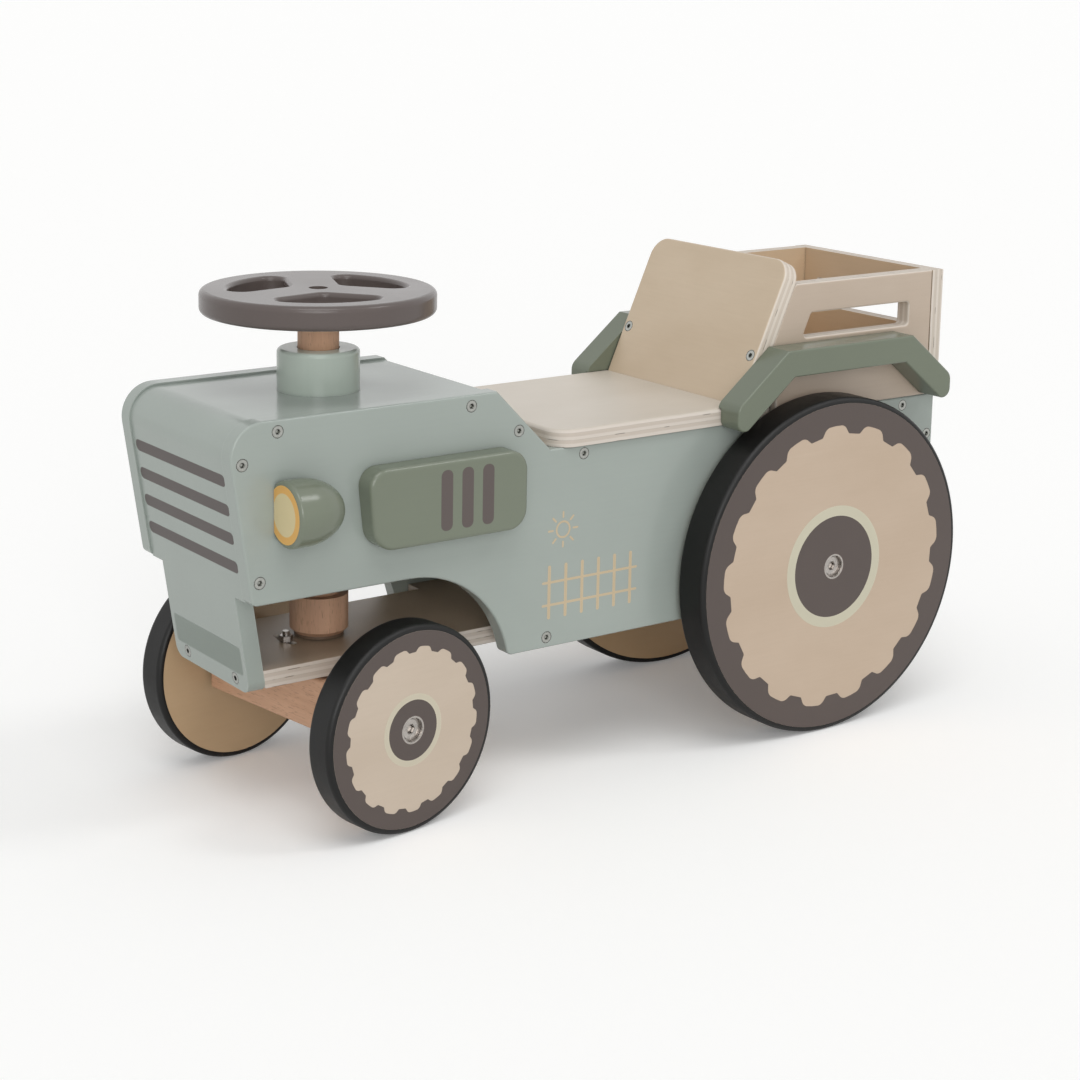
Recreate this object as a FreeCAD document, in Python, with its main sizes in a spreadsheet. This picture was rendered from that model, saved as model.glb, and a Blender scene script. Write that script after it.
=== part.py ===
import FreeCAD, Part
import math
import os
import re
import Sketcher

# Wooden ride-on tractor with a steered front axle, a seat and a cargo box.
# Front is -Y, the driver's left is +X, +Z is up, and the origin is on the floor below the middle.

doc = FreeCAD.newDocument("RideOnTractor")

# Driving dimensions in millimetres and degrees
size_values = {
    # overall
    "front_overhang": 107,
    "wheelbase": 371,
    "rear_overhang": 131,
    "body_width": 152,
    "ply": 12,
    "fit_gap": 0.3,
    "running_fit": 0.05,
    # heights: the nose and the shelf go by the front wheels, the deck by the rear wheels
    "nose_clearance": 22,
    "shelf_rise": 27.5,
    "panel_lip": 1.5,
    "tongue_lip": 2.5,
    "deck_drop": 15,
    "hood_rise": 44.5,
    "box_rise": 95,
    # side panels and hood
    "front_lean": 8.7,
    "hood_radius": 22,
    "hood_inset": 1.5,
    "dash_run": 136,
    "dash_angle": 45,
    "arch_run": 103,
    "arch_angle": 76,
    "arch_straight": 5.5,
    "nose_radius": 5,
    "tail_radius": 20,
    "tail_inset": 4,
    "tongue_width": 100,
    "tongue_radius": 8,
    # lower shelf
    "shelf_run": 150,
    "shelf_shoulder": 10,
    # seat and backrest
    "seat_overhang": 2.7,
    "seat_setback": 4,
    "seat_radius": 16,
    "seat_edge": 3,
    "seat_groove": 3,
    "seat_tail": 36,
    "backrest_run": 70,
    "backrest_lean": 24,
    "backrest_length": 110,
    "backrest_radius": 15,
    # cargo box windows
    "window_drop": 22,
    "window_height": 18,
    "window_margin": 27,
    "window_rear_gap": 35,
    "window_radius": 3,
    "rear_window_height": 22,
    "rear_window_width": 100,
    "box_corner_radius": 5,
    # fenders
    "fender_width": 22,
    "fender_thickness": 19.5,
    "fender_clearance": 17.5,
    "fender_front_clearance": 8.4,
    "fender_back_clearance": 32,
    "fender_front_leg": 45.5,
    "fender_back_leg": 41,
    "fender_angle": 39,
    "fender_radius": 9,
    "fender_foot_radius": 7,
    # headlights and engine covers
    "lamp_radius": 19.5,
    "lamp_length": 48,
    "lamp_offset": 10.5,
    "lamp_run": 77,
    "lamp_drop": 60,
    "lamp_edge": 1,
    "cover_length": 122,
    "cover_height": 58,
    "cover_thickness": 15,
    "cover_radius": 14,
    "cover_edge": 3,
    "cover_run": 44.5,
    "cover_drop": 62.5,
    # steering column
    "shaft_diameter": 27.5,
    "collar_diameter": 55,
    "collar_height": 28,
    "collar_edge": 3,
    "collar_play": 0.5,
    "hood_hole_margin": 2,
    "steering_rise": 67.5,
    "steering_diameter": 156,
    "steering_thickness": 16,
    "steering_edge": 4,
    "rim_width": 19,
    "spoke_width": 34,
    "spoke_radius": 9,
    "spoke_edge": 3,
    "steer_rest_angle": 8,
    "steer_limit_angle": 20,
    "head_recess": 8,
    "steering_bolt_diameter": 6,
    "steering_head_diameter": 12,
    "steering_head_height": 4,
    "steering_bolt_length": 45,
    "collar_bush_wall": 6.1,
    "collar_bush_height": 27,
    "collar_bush_chamfer": 3,
    "washer_thickness": 2,
    "washer_rim": 3,
    "stop_radius": 28,
    "stop_diameter": 5,
    "stop_slack": 0.5,
    "stop_depth": 20,
    "stop_thread": 3,
    "nut_width": 8,
    "nut_height": 4,
    # front axle beam and rear axle block
    "axle_lead": 4.8,
    "beam_length": 154,
    "beam_depth": 58,
    "beam_margin": 12.5,
    "beam_edge": 3,
    "socket_depth": 20,
    "block_depth": 40,
    "block_height": 40,
    # wheels
    "rear_tyre_radius": 125,
    "rear_wheel_width": 27,
    "front_tyre_radius": 70,
    "front_wheel_width": 21.5,
    "tyre_thickness": 4,
    "tyre_flat": 0.5,
    "wheel_gap": 4.5,
    "hub_bush_diameter": 16,
    "spacer_diameter": 24,
    "bolt_diameter": 8,
    "bolt_grip": 35,
    "bolt_head_diameter": 13.5,
    "bolt_head_height": 4,
    "bolt_socket": 6,
    "socket_hollow": 2.5,
    "cup_diameter": 18.6,
    "cup_depth": 8,
    "cup_wall": 1.2,
    # wood screws
    "screw_diameter": 4,
    "screw_head": 8.4,
    "screw_cone_angle": 90,
    "screw_length": 30,
    "screw_socket": 3,
    "screw_hollow": 1.6,
    "screw_margin": 15,
    "bend_screw_run": 11,
    "bend_screw_angle": -15,
    "dash_screw_rise": 16,
    "seat_screw_run": 28,
    "box_screw_run": 94,
    "tail_screw_drop": 31,
    "backrest_screw_height": 37,
    "tongue_screw_lift": 4.5,
    "tongue_screw_spacing": 66,
    # softened edges of painted and bare boards
    "soft_edge": 1.5,
}

# Places worked out from the driving dimensions
layout_formulas = {
    "body_length": "front_overhang + wheelbase + rear_overhang",
    "back_y": "body_length / 2",
    "axis_y": "front_overhang - back_y",
    "axle_y": "back_y - rear_overhang",
    "half_width": "body_width / 2",
    "inner_half": "half_width - ply",
    "nose_bottom": "2 * front_tyre_radius + nose_clearance",
    "shelf_bottom": "front_tyre_radius + shelf_rise",
    "shelf_top": "shelf_bottom + ply",
    "panel_bottom": "shelf_bottom - panel_lip",
    "tongue_bottom": "shelf_bottom - tongue_lip",
    "deck_height": "2 * rear_tyre_radius - deck_drop",
    "hood_height": "deck_height + hood_rise",
    "seat_top": "deck_height + ply",
    "box_height": "deck_height + box_rise",
    # front edge: a leaning line tangent to the bend at the top
    "bend_y": "hood_radius - back_y",
    "bend_z": "hood_height - hood_radius",
    "front_zero": "bend_y - hood_radius / cos(front_lean) + bend_z * tan(front_lean)",
    "front_slope": "tan(front_lean)",
    "front_depth": "ply / cos(front_lean)",
    # the bent board lies a little inside the side panels' outline
    "shell_top": "hood_height - hood_inset",
    "shell_radius": "hood_radius - hood_inset",
    "shell_zero": "front_zero + hood_inset / cos(front_lean)",
    # hood rear, dashboard and wheel arch
    "dash_y": "axis_y + dash_run",
    "hood_rear_y": "dash_y - (hood_height - deck_height) / tan(dash_angle)",
    "shell_dash_y": "dash_y - hood_inset / sin(dash_angle)",
    "shell_rear_y": "shell_dash_y - (shell_top - deck_height) / tan(dash_angle)",
    "dash_mitre": "ply * tan(dash_angle / 2)",
    "dash_depth": "ply / sin(dash_angle)",
    "arch_y": "axis_y + arch_run",
    "arch_rise": "nose_bottom - panel_bottom",
    "arch_knee_y": "arch_y - arch_rise / tan(arch_angle)",
    "arch_radius": "(arch_rise / sin(arch_angle) - arch_straight) / tan(arch_angle / 2)",
    "panel_rear_y": "back_y - tail_inset",
    # beam and steering heights
    "beam_top": "shelf_bottom - fit_gap - washer_thickness",
    "beam_bottom": "front_tyre_radius - beam_margin",
    "collar_top": "shell_top + collar_height",
    "steering_top": "shell_top + steering_rise",
    "steering_bottom": "steering_top - steering_thickness",
    "bush_bottom": "shelf_top + fit_gap + washer_thickness",
    "shaft_radius": "shaft_diameter / 2",
    "steering_radius": "steering_diameter / 2",
    # seat, backrest and box
    "seat_front_y": "dash_y + seat_setback",
    "backrest_y": "axle_y - backrest_run",
    "seat_tail_y": "backrest_y + seat_tail",
    "backrest_slope": "tan(backrest_lean)",
    "backrest_depth": "ply / cos(backrest_lean)",
    "groove_shift": "seat_groove * backrest_slope",
    "groove_depth": "seat_groove / cos(backrest_lean)",
    "box_front_y": "backrest_y + backrest_depth",
    "box_rear_y": "back_y - ply",
    "window_top": "box_height - window_drop",
    "window_bottom": "window_top - window_height",
    # fender
    "fender_bottom": "2 * rear_tyre_radius + fender_clearance",
    "fender_top": "fender_bottom + fender_thickness",
    "fender_mitre": "fender_thickness * tan(fender_angle / 2)",
    "fender_lift": "(rear_tyre_radius + fender_clearance) * cos(fender_angle)",
    "fender_front_bend": "(rear_tyre_radius + fender_front_clearance - fender_lift) / sin(fender_angle)",
    "fender_back_bend": "(rear_tyre_radius + fender_back_clearance - fender_lift) / sin(fender_angle)",
    "fender_front_y": "axle_y - fender_front_bend - fender_mitre",
    "fender_back_y": "axle_y + fender_back_bend + fender_mitre",
    # wheels and fasteners
    "bolt_radius": "bolt_diameter / 2",
    "cup_radius": "cup_diameter / 2",
    "hub_bush_radius": "hub_bush_diameter / 2",
    "front_wheel_x": "beam_length / 2 + wheel_gap",
    "rear_wheel_x": "half_width + wheel_gap",
    "screw_mid": "ply / 2",
    "tongue_screw_z": "shelf_bottom + tongue_screw_lift",
}

sheet = doc.addObject("Spreadsheet::Sheet", "Sizes")
for row, (alias, number) in enumerate(size_values.items(), start=1):
    sheet.set(f"A{row}", alias)
    sheet.set(f"B{row}", str(number))
    sheet.setAlias(f"B{row}", alias)

layout = doc.addObject("App::VarSet", "Layout")
word_pattern = re.compile(r"[a-z_]+[a-z]")


def bound(text):
    # Names in a formula become references to the sheet or to the layout
    def reference(match):
        word = match.group(0)
        if word in size_values:
            return "Sizes." + word
        if word in layout_formulas:
            return "Layout." + word
        return word
    return word_pattern.sub(reference, text)


for name, formula in layout_formulas.items():
    layout.addProperty("App::PropertyFloat", name, "Layout")
    layout.setExpression(name, bound(formula))
doc.recompute()


def front_y(height):
    # Formula of the side panels' front edge at a height
    return f"front_zero - ({height}) * front_slope"


def shell_front_y(height):
    # Formula of the bent board's front face at a height
    return f"shell_zero - ({height}) * front_slope"


def backrest_back_y(height):
    # Formula of the backrest's rear face at a height
    return f"box_front_y + (({height}) - seat_top) * backrest_slope"


# Sketching and feature helpers

def new_body(label):
    body = doc.addObject("PartDesign::Body", label)
    body.Label = label
    return body


def new_sketch(body, plane, offset, rise="0", tilt="0"):
    # A sketch on one of the body's planes, moved off it, raised and tilted about the sketch's own X
    sketch = body.newObject("Sketcher::SketchObject", "Sketch")
    support = [item for item in body.Origin.OriginFeatures if item.Role == plane]
    sketch.AttachmentSupport = [(support[0], "")]
    sketch.MapMode = "FlatFace"
    sketch.AttachmentOffset = FreeCAD.Placement(FreeCAD.Vector(), FreeCAD.Rotation(FreeCAD.Vector(1, 0, 0), 1))
    sketch.setExpression("AttachmentOffset.Base.z", bound(offset))
    sketch.setExpression("AttachmentOffset.Base.y", bound(rise))
    sketch.setExpression("AttachmentOffset.Rotation.Angle", bound(tilt))
    return sketch


def pin_point(sketch, geometry, point, across, up):
    # Hold a point of the sketch at two formulas, measured from the sketch's origin
    for kind, formula in (("DistanceX", across), ("DistanceY", up)):
        number = sketch.addConstraint(Sketcher.Constraint(kind, -1, 1, geometry, point, 1.0))
        sketch.setExpression(f"Constraints[{number}]", bound(formula))


def outline(body, plane, offset, corners):
    # Closed polygon with every corner bound to formulas
    sketch = new_sketch(body, plane, offset)
    count = len(corners)
    turn = 2 * math.pi / count
    start = [FreeCAD.Vector(math.cos(i * turn), math.sin(i * turn), 0) for i in range(count)]
    for i in range(count):
        sketch.addGeometry(Part.LineSegment(start[i], start[(i + 1) % count]))
    for i in range(count):
        sketch.addConstraint(Sketcher.Constraint("Coincident", i, 2, (i + 1) % count, 1))
    for i, (across, up) in enumerate(corners):
        pin_point(sketch, i, 1, across, up)
    doc.recompute()
    return sketch


def rectangle(low_across, low_up, high_across, high_up):
    return [(low_across, low_up), (high_across, low_up), (high_across, high_up), (low_across, high_up)]


def circles(body, plane, offset, centres, radius, rise="0", tilt="0"):
    sketch = new_sketch(body, plane, offset, rise, tilt)
    for i, (across, up) in enumerate(centres):
        circle = Part.Circle(FreeCAD.Vector(3 * i, 0, 0), FreeCAD.Vector(0, 0, 1), 1)
        sketch.addGeometry(circle)
        pin_point(sketch, i, 3, across, up)
        number = sketch.addConstraint(Sketcher.Constraint("Radius", i, 1.0))
        sketch.setExpression(f"Constraints[{number}]", bound(radius))
    doc.recompute()
    return sketch


def add_feature(body, kind, sketch, reverse=False, symmetric=False, **formulas):
    # A sketched feature; formulas give its length or angle
    feature = body.newObject("PartDesign::" + kind, kind)
    feature.Profile = sketch
    feature.Reversed = reverse
    if symmetric:
        feature.Midplane = True
    for name, formula in formulas.items():
        feature.setExpression(name, bound(formula))
    return feature


def pad(body, sketch, length, reverse=False, symmetric=False):
    add_feature(body, "Pad", sketch, reverse, symmetric, Length=length)
    doc.recompute()


def cut(body, sketch, length, reverse=False, symmetric=False):
    # A pocket that has to remove material
    before = body.Shape.Volume
    add_feature(body, "Pocket", sketch, reverse, symmetric, Length=length)
    doc.recompute()
    if body.Shape.Volume > before - 0.1:
        raise RuntimeError(f"{body.Label}: a cut removed nothing")


def turn_profile(body, sketch, axis):
    feature = body.newObject("PartDesign::Revolution", "Revolution")
    feature.Profile = sketch
    feature.ReferenceAxis = (sketch, [axis])
    feature.Angle = 360
    doc.recompute()


def turned(label, corners):
    # A turned piece along its own X axis, from corners given as place on the axis and radius
    body = new_body(label)
    turn_profile(body, outline(body, "XY_Plane", "0", corners), "H_Axis")
    return body


def round_edges(body, edges, radius, kind="Fillet"):
    base = body.Tip
    if not edges:
        raise RuntimeError(f"{body.Label}: no edges to round")
    feature = body.newObject("PartDesign::" + kind, kind)
    feature.Base = (base, edges)
    feature.setExpression("Radius" if kind == "Fillet" else "Size", bound(radius))
    doc.recompute()
    if "Invalid" in feature.State:
        raise RuntimeError(f"{body.Label}: {radius} failed on {edges}")


def edge_names(shape, test):
    return [f"Edge{i}" for i, edge in enumerate(shape.Edges, start=1) if test(edge)]


def corner_edges(body, sketch, corners):
    # Straight edges that rise from the numbered corners of an outline
    normal = sketch.Placement.Rotation.multVec(FreeCAD.Vector(0, 0, 1))
    feet = [sketch.Placement.multVec(sketch.getPoint(i, 1)) for i in corners]

    def rises(edge):
        if edge.Curve.TypeId != "Part::GeomLine":
            return False
        if edge.Curve.Direction.cross(normal).Length > 1e-6:
            return False
        return any((edge.Vertexes[0].Point - foot).cross(normal).Length < 1e-4 for foot in feet)
    return edge_names(body.Tip.Shape, rises)


def rim_edges(body):
    # Full circles of the largest radius
    shape = body.Tip.Shape
    rounds = [edge for edge in shape.Edges if edge.Curve.TypeId == "Part::GeomCircle"]
    largest = max(edge.Curve.Radius for edge in rounds)

    def on_rim(edge):
        return edge.Curve.TypeId == "Part::GeomCircle" and edge.Curve.Radius > largest - 1e-4
    return edge_names(shape, on_rim)


def far_face(body, direction):
    # The flat face that lies furthest along a direction
    flats = [face for face in body.Tip.Shape.Faces if face.Surface.TypeId == "Part::GeomPlane"]
    facing = [face for face in flats if face.normalAt(0, 0).dot(direction) > 0.999]
    return max(facing, key=lambda face: face.CenterOfMass.dot(direction))


def face_edges(body, direction):
    face = far_face(body, direction)
    return edge_names(body.Tip.Shape, lambda edge: any(edge.isSame(other) for other in face.Edges))


def place(item, x, y, z, angle="0", axis=FreeCAD.Vector(0, 0, 1)):
    item.Placement = FreeCAD.Placement(FreeCAD.Vector(), FreeCAD.Rotation(axis, 1))
    item.setExpression("Placement.Base.x", bound(x))
    item.setExpression("Placement.Base.y", bound(y))
    item.setExpression("Placement.Base.z", bound(z))
    item.setExpression("Placement.Rotation.Angle", bound(angle))
    doc.recompute()


def place_on_column(item):
    # Steered pieces turn about the upright steering axis
    place(item, "0", "axis_y", "0", "steer_rest_angle")


def place_on_beam(item, reach, turn):
    # A piece on the steered axle, which lies ahead of the steering axis
    angle = f"(steer_rest_angle + {turn})"
    across = f"({reach}) * cos({angle}) + axle_lead * sin(steer_rest_angle)"
    along = f"axis_y + ({reach}) * sin({angle}) - axle_lead * cos(steer_rest_angle)"
    place(item, across, along, "front_tyre_radius", angle)


def place_on_axle(item, reach, turn):
    place(item, f"({reach}) * cos({turn})", "axle_y", "rear_tyre_radius", turn)


def group(label, solids):
    # Identical small pieces share one node as separate solids
    item = doc.addObject("Part::Feature", label)
    item.Label = label
    item.Shape = Part.makeCompound(solids)
    return item


upward = FreeCAD.Vector(0, 0, 1)
outward = FreeCAD.Vector(1, 0, 0)
sides = (("left", 1), ("right", -1))

# Wood screws through the side panels: place along the panel and height, by the board they hold
screw_places = {
    "hood": [
        ("bend_y + bend_screw_run", "shell_top - screw_mid"),
        ("bend_y - (shell_radius - screw_mid) * cos(bend_screw_angle)",
         "bend_z + (shell_radius - screw_mid) * sin(bend_screw_angle)"),
        (shell_front_y("nose_bottom + screw_margin") + " + front_depth / 2", "nose_bottom + screw_margin"),
        ("shell_rear_y - dash_mitre - screw_margin", "shell_top - screw_mid"),
    ],
    "dash": [
        ("shell_dash_y - dash_screw_rise / tan(dash_angle) - dash_depth / 2", "deck_height + dash_screw_rise"),
    ],
    "deck": [
        ("dash_y + seat_screw_run", "deck_height - screw_mid"),
        ("axle_y + box_screw_run", "deck_height - screw_mid"),
    ],
    "shelf": [("axis_y + shelf_run - screw_margin", "shelf_bottom + screw_mid")],
    "tail": [("panel_rear_y - screw_mid", "deck_height - tail_screw_drop")],
}


screw_seats = {}


def drill_for_screws(body, board):
    # Blind holes in a board's two ends, in line with the holes of the side panels
    radius = "screw_diameter / 2 + running_fit"
    left = circles(body, "YZ_Plane", "inner_half", screw_places[board], radius)
    cut(body, left, "screw_length - ply + fit_gap")
    right = circles(body, "YZ_Plane", "-inner_half", screw_places[board], radius)
    cut(body, right, "screw_length - ply + fit_gap", reverse=True)


# Chassis

def side_panel(side, sign):
    body = new_body("side_panel_" + side)
    corners = [
        ("hood_rear_y", "hood_height"),
        ("dash_y", "deck_height"),
        ("panel_rear_y", "deck_height"),
        ("panel_rear_y", "panel_bottom"),
        ("arch_y", "panel_bottom"),
        ("arch_knee_y", "nose_bottom"),
        (front_y("nose_bottom"), "nose_bottom"),
        (front_y("hood_height"), "hood_height"),
    ]
    inner_face = "inner_half" if sign > 0 else "-half_width"
    sketch = outline(body, "YZ_Plane", inner_face, corners)
    pad(body, sketch, "ply")
    round_edges(body, corner_edges(body, sketch, [3]), "tail_radius")
    round_edges(body, corner_edges(body, sketch, [5]), "arch_radius")
    round_edges(body, corner_edges(body, sketch, [4, 6]), "nose_radius")
    round_edges(body, corner_edges(body, sketch, [7]), "hood_radius")
    round_edges(body, face_edges(body, outward * sign), "soft_edge")
    axle_hole = circles(body, "YZ_Plane", inner_face, [("axle_y", "rear_tyre_radius")], "bolt_radius + fit_gap")
    cut(body, axle_hole, "ply", reverse=True)
    places = [spot for spots in screw_places.values() for spot in spots]
    outer_face = "half_width" if sign > 0 else "-half_width"
    countersink(body, circles(body, "YZ_Plane", outer_face, places, "screw_diameter / 2"), reverse=sign < 0)
    return body


def countersink(body, sketch, reverse=False):
    # Screw holes whose cone takes the screw heads flush with the sketch
    before = body.Shape.Volume
    hole = body.newObject("PartDesign::Hole", "Hole")
    hole.Profile = sketch
    hole.Threaded = False
    hole.DepthType = "Dimension"
    hole.HoleCutType = "Countersink"
    hole.HoleCutCustomValues = True
    hole.DrillPoint = "Flat"
    hole.Reversed = reverse
    hole.setExpression("Depth", bound("screw_length"))
    hole.setExpression("Diameter", bound("screw_diameter + 2 * running_fit"))
    hole.setExpression("HoleCutDiameter", bound("screw_head + 2 * running_fit"))
    hole.setExpression("HoleCutCountersinkAngle", bound("screw_cone_angle"))
    doc.recompute()
    if body.Shape.Volume > before - 1:
        raise RuntimeError(f"{body.Label}: the screw holes cut nothing")
    screw_seats.setdefault(body.Label, (body, sketch, reverse))


def hood_shell():
    # Bent top and front board between the side panels, with a narrower tongue below
    body = new_body("hood_shell")
    inner_front = shell_front_y("nose_bottom") + " + front_depth"
    inner_top = shell_front_y("shell_top - ply") + " + front_depth"
    corners = [
        ("shell_rear_y", "shell_top"),
        (shell_front_y("shell_top"), "shell_top"),
        (shell_front_y("nose_bottom"), "nose_bottom"),
        (inner_front, "nose_bottom"),
        (inner_top, "shell_top - ply"),
        ("shell_rear_y - dash_mitre", "shell_top - ply"),
    ]
    sketch = outline(body, "YZ_Plane", "0", corners)
    pad(body, sketch, "2 * inner_half", symmetric=True)
    round_edges(body, corner_edges(body, sketch, [1]), "shell_radius")
    round_edges(body, corner_edges(body, sketch, [4]), "shell_radius - ply")
    tongue = outline(body, "YZ_Plane", "0", [
        (shell_front_y("nose_bottom"), "nose_bottom"),
        (shell_front_y("tongue_bottom"), "tongue_bottom"),
        (shell_front_y("tongue_bottom") + " + front_depth", "tongue_bottom"),
        (inner_front, "nose_bottom"),
    ])
    pad(body, tongue, "tongue_width", symmetric=True)
    round_edges(body, tongue_corners(body), "tongue_radius")
    shaft_hole = circles(body, "XY_Plane", "shell_top", [("0", "axis_y")], "shaft_radius + hood_hole_margin")
    cut(body, shaft_hole, "ply")
    drill_for_screws(body, "hood")
    countersink(body, tongue_circles(body, "screw_diameter / 2"))
    return body


def tongue_circles(body, radius):
    # Two screw places on the front face of the tongue, square to it
    spacing = "tongue_screw_spacing / 2"
    face = "-(" + shell_front_y("tongue_screw_z") + ")"
    places = [(spacing, "0"), ("-" + spacing, "0")]
    return circles(body, "XZ_Plane", face, places, radius, rise="tongue_screw_z", tilt="front_lean")


def tongue_corners(body):
    # The short slanted edges at the tongue's two lower corners
    def at_foot(edge):
        box = edge.BoundBox
        return abs(box.ZMax - layout.tongue_bottom) < 1e-4 and box.XLength < 1e-4
    return edge_names(body.Tip.Shape, at_foot)


def dashboard_panel():
    body = new_body("dashboard_panel")
    sketch = outline(body, "YZ_Plane", "0", [
        ("shell_rear_y", "shell_top"),
        ("shell_dash_y", "deck_height"),
        ("shell_dash_y - dash_depth", "deck_height"),
        ("shell_rear_y - dash_mitre", "shell_top - ply"),
    ])
    pad(body, sketch, "2 * inner_half", symmetric=True)
    drill_for_screws(body, "dash")
    return body


def shelf_plate():
    # Narrow at the front wheels and full width behind them, with an arc slot for the steering stop
    body = new_body("shelf_plate")
    front = shell_front_y("shelf_top") + " + front_depth"
    shoulder = "arch_y + shelf_shoulder"
    rear = "axis_y + shelf_run"
    sketch = outline(body, "XY_Plane", "shelf_bottom", [
        ("-tongue_width / 2", front),
        ("tongue_width / 2", front),
        ("tongue_width / 2", shoulder),
        ("inner_half", shoulder),
        ("inner_half", rear),
        ("-inner_half", rear),
        ("-inner_half", shoulder),
        ("-tongue_width / 2", shoulder),
    ])
    pad(body, sketch, "ply")
    wedge = outline(body, "YZ_Plane", "0", [
        (front, "shelf_top"),
        (front, "shelf_bottom"),
        (shell_front_y("shelf_bottom") + " + front_depth", "shelf_bottom"),
    ])
    cut(body, wedge, "tongue_width", symmetric=True)
    bore = circles(body, "XY_Plane", "shelf_top", [("0", "axis_y")], "shaft_radius + running_fit")
    cut(body, bore, "ply")
    slot_radius = "stop_diameter / 2 + stop_slack"
    ends = [
        ("stop_radius * sin(steer_limit_angle)", "axis_y - stop_radius * cos(steer_limit_angle)"),
        ("-stop_radius * sin(steer_limit_angle)", "axis_y - stop_radius * cos(steer_limit_angle)"),
    ]
    cut(body, circles(body, "XY_Plane", "shelf_top", ends, slot_radius), "ply")
    slot = outline(body, "YZ_Plane", "0", rectangle(
        f"axis_y - stop_radius - ({slot_radius})", "shelf_bottom - ply",
        f"axis_y - stop_radius + {slot_radius}", "shelf_top + ply"))
    add_axis_line(slot, "axis_y")
    groove = body.newObject("PartDesign::Groove", "Groove")
    groove.Profile = slot
    groove.ReferenceAxis = (slot, ["Axis0"])
    groove.Midplane = True
    groove.setExpression("Angle", bound("2 * steer_limit_angle"))
    before = body.Shape.Volume
    doc.recompute()
    if groove.Shape.Volume > before - 1:
        raise RuntimeError("the steering slot cut nothing")
    drill_for_screws(body, "shelf")
    cut(body, tongue_circles(body, "screw_diameter / 2 + running_fit"), "screw_length + fit_gap")
    return body


def add_axis_line(sketch, across):
    # An upright construction line to turn a profile about
    number = sketch.addGeometry(Part.LineSegment(FreeCAD.Vector(0, 0, 0), FreeCAD.Vector(0, 1, 0)), True)
    pin_point(sketch, number, 1, across, "0")
    pin_point(sketch, number, 2, across, "ply")
    doc.recompute()


def deck_board():
    # Board under the seat that is also the floor of the cargo box
    body = new_body("deck_board")
    sketch = outline(body, "XY_Plane", "deck_height - ply",
                     rectangle("-inner_half", "shell_dash_y - dash_depth", "inner_half", "panel_rear_y"))
    pad(body, sketch, "ply")
    drill_for_screws(body, "deck")
    return body


def rear_cross_panel():
    body = new_body("rear_cross_panel")
    sketch = outline(body, "YZ_Plane", "0", rectangle(
        "panel_rear_y - ply", "panel_bottom + tail_radius", "panel_rear_y", "deck_height - ply"))
    pad(body, sketch, "2 * inner_half", symmetric=True)
    drill_for_screws(body, "tail")
    return body


def seat_board():
    body = new_body("seat_board")
    half = "half_width + seat_overhang"
    sketch = outline(body, "XY_Plane", "deck_height",
                     rectangle(f"-({half})", "seat_front_y", half, "seat_tail_y"))
    pad(body, sketch, "ply")
    round_edges(body, corner_edges(body, sketch, [0, 1, 2, 3]), "seat_radius")
    round_edges(body, face_edges(body, upward), "seat_edge")
    groove = outline(body, "YZ_Plane", "0", [
        ("backrest_y", "seat_top"),
        ("backrest_y - groove_shift", "seat_top - seat_groove"),
        ("box_front_y - groove_shift", "seat_top - seat_groove"),
        ("box_front_y", "seat_top"),
    ])
    cut(body, groove, "2 * body_width", symmetric=True)
    return body


def backrest():
    # Leaning board that stands in the seat's groove, drawn upright in its own frame and tipped back
    body = new_body("backrest")
    sketch = outline(body, "YZ_Plane", "0", [
        ("0", "-groove_depth"),
        ("ply", "ply * backrest_slope - groove_depth"),
        ("ply", "backrest_length"),
        ("0", "backrest_length"),
    ])
    pad(body, sketch, "body_width", symmetric=True)
    round_edges(body, upper_corners(body), "backrest_radius")
    round_edges(body, face_edges(body, -FreeCAD.Vector(0, 1, 0)), "soft_edge")
    spots = backrest_screws("backrest_screw_height")
    countersink(body, circles(body, "XZ_Plane", "0", spots, "screw_diameter / 2"))
    place(body, "0", "backrest_y", "seat_top", "-backrest_lean", FreeCAD.Vector(1, 0, 0))
    return body


def backrest_screws(height):
    across = "half_width - screw_mid"
    return [(across, height), (f"-({across})", height)]


def upper_corners(body):
    # Short edges across the board's thickness at its two upper corners
    top = body.Tip.Shape.BoundBox.ZMax

    def across(edge):
        box = edge.BoundBox
        return abs(box.ZMin - top) < 1e-4 and box.XLength < 1e-4
    return edge_names(body.Tip.Shape, across)


def box_side(side, sign):
    # Notched over the seat board, with its front edge against the backrest and a slanted window
    body = new_body("box_side_" + side)
    notch = "seat_tail_y + fit_gap"
    inner_face = "inner_half" if sign > 0 else "-half_width"
    sketch = outline(body, "YZ_Plane", inner_face, [
        (backrest_back_y("seat_top"), "seat_top"),
        (notch, "seat_top"),
        (notch, "deck_height"),
        ("box_rear_y", "deck_height"),
        ("box_rear_y", "box_height"),
        (backrest_back_y("box_height"), "box_height"),
    ])
    pad(body, sketch, "ply")
    window = outline(body, "YZ_Plane", inner_face, [
        (backrest_back_y("window_bottom") + " + window_margin", "window_bottom"),
        ("back_y - window_rear_gap", "window_bottom"),
        ("back_y - window_rear_gap", "window_top"),
        (backrest_back_y("window_top") + " + window_margin", "window_top"),
    ])
    cut(body, window, "ply", reverse=True)
    round_edges(body, corner_edges(body, window, [0, 1, 2, 3]), "window_radius")
    round_edges(body, corner_edges(body, sketch, [5]), "box_corner_radius")
    round_edges(body, face_edges(body, outward * sign), "soft_edge")
    screw_spot = [backrest_screws("backrest_screw_height - ply * backrest_slope")[0 if sign > 0 else 1]]
    pilot = circles(body, "XZ_Plane", "-box_front_y", screw_spot, "screw_diameter / 2 + running_fit",
                    rise="seat_top", tilt="-backrest_lean")
    cut(body, pilot, "screw_length - ply + fit_gap")
    return body


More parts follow.
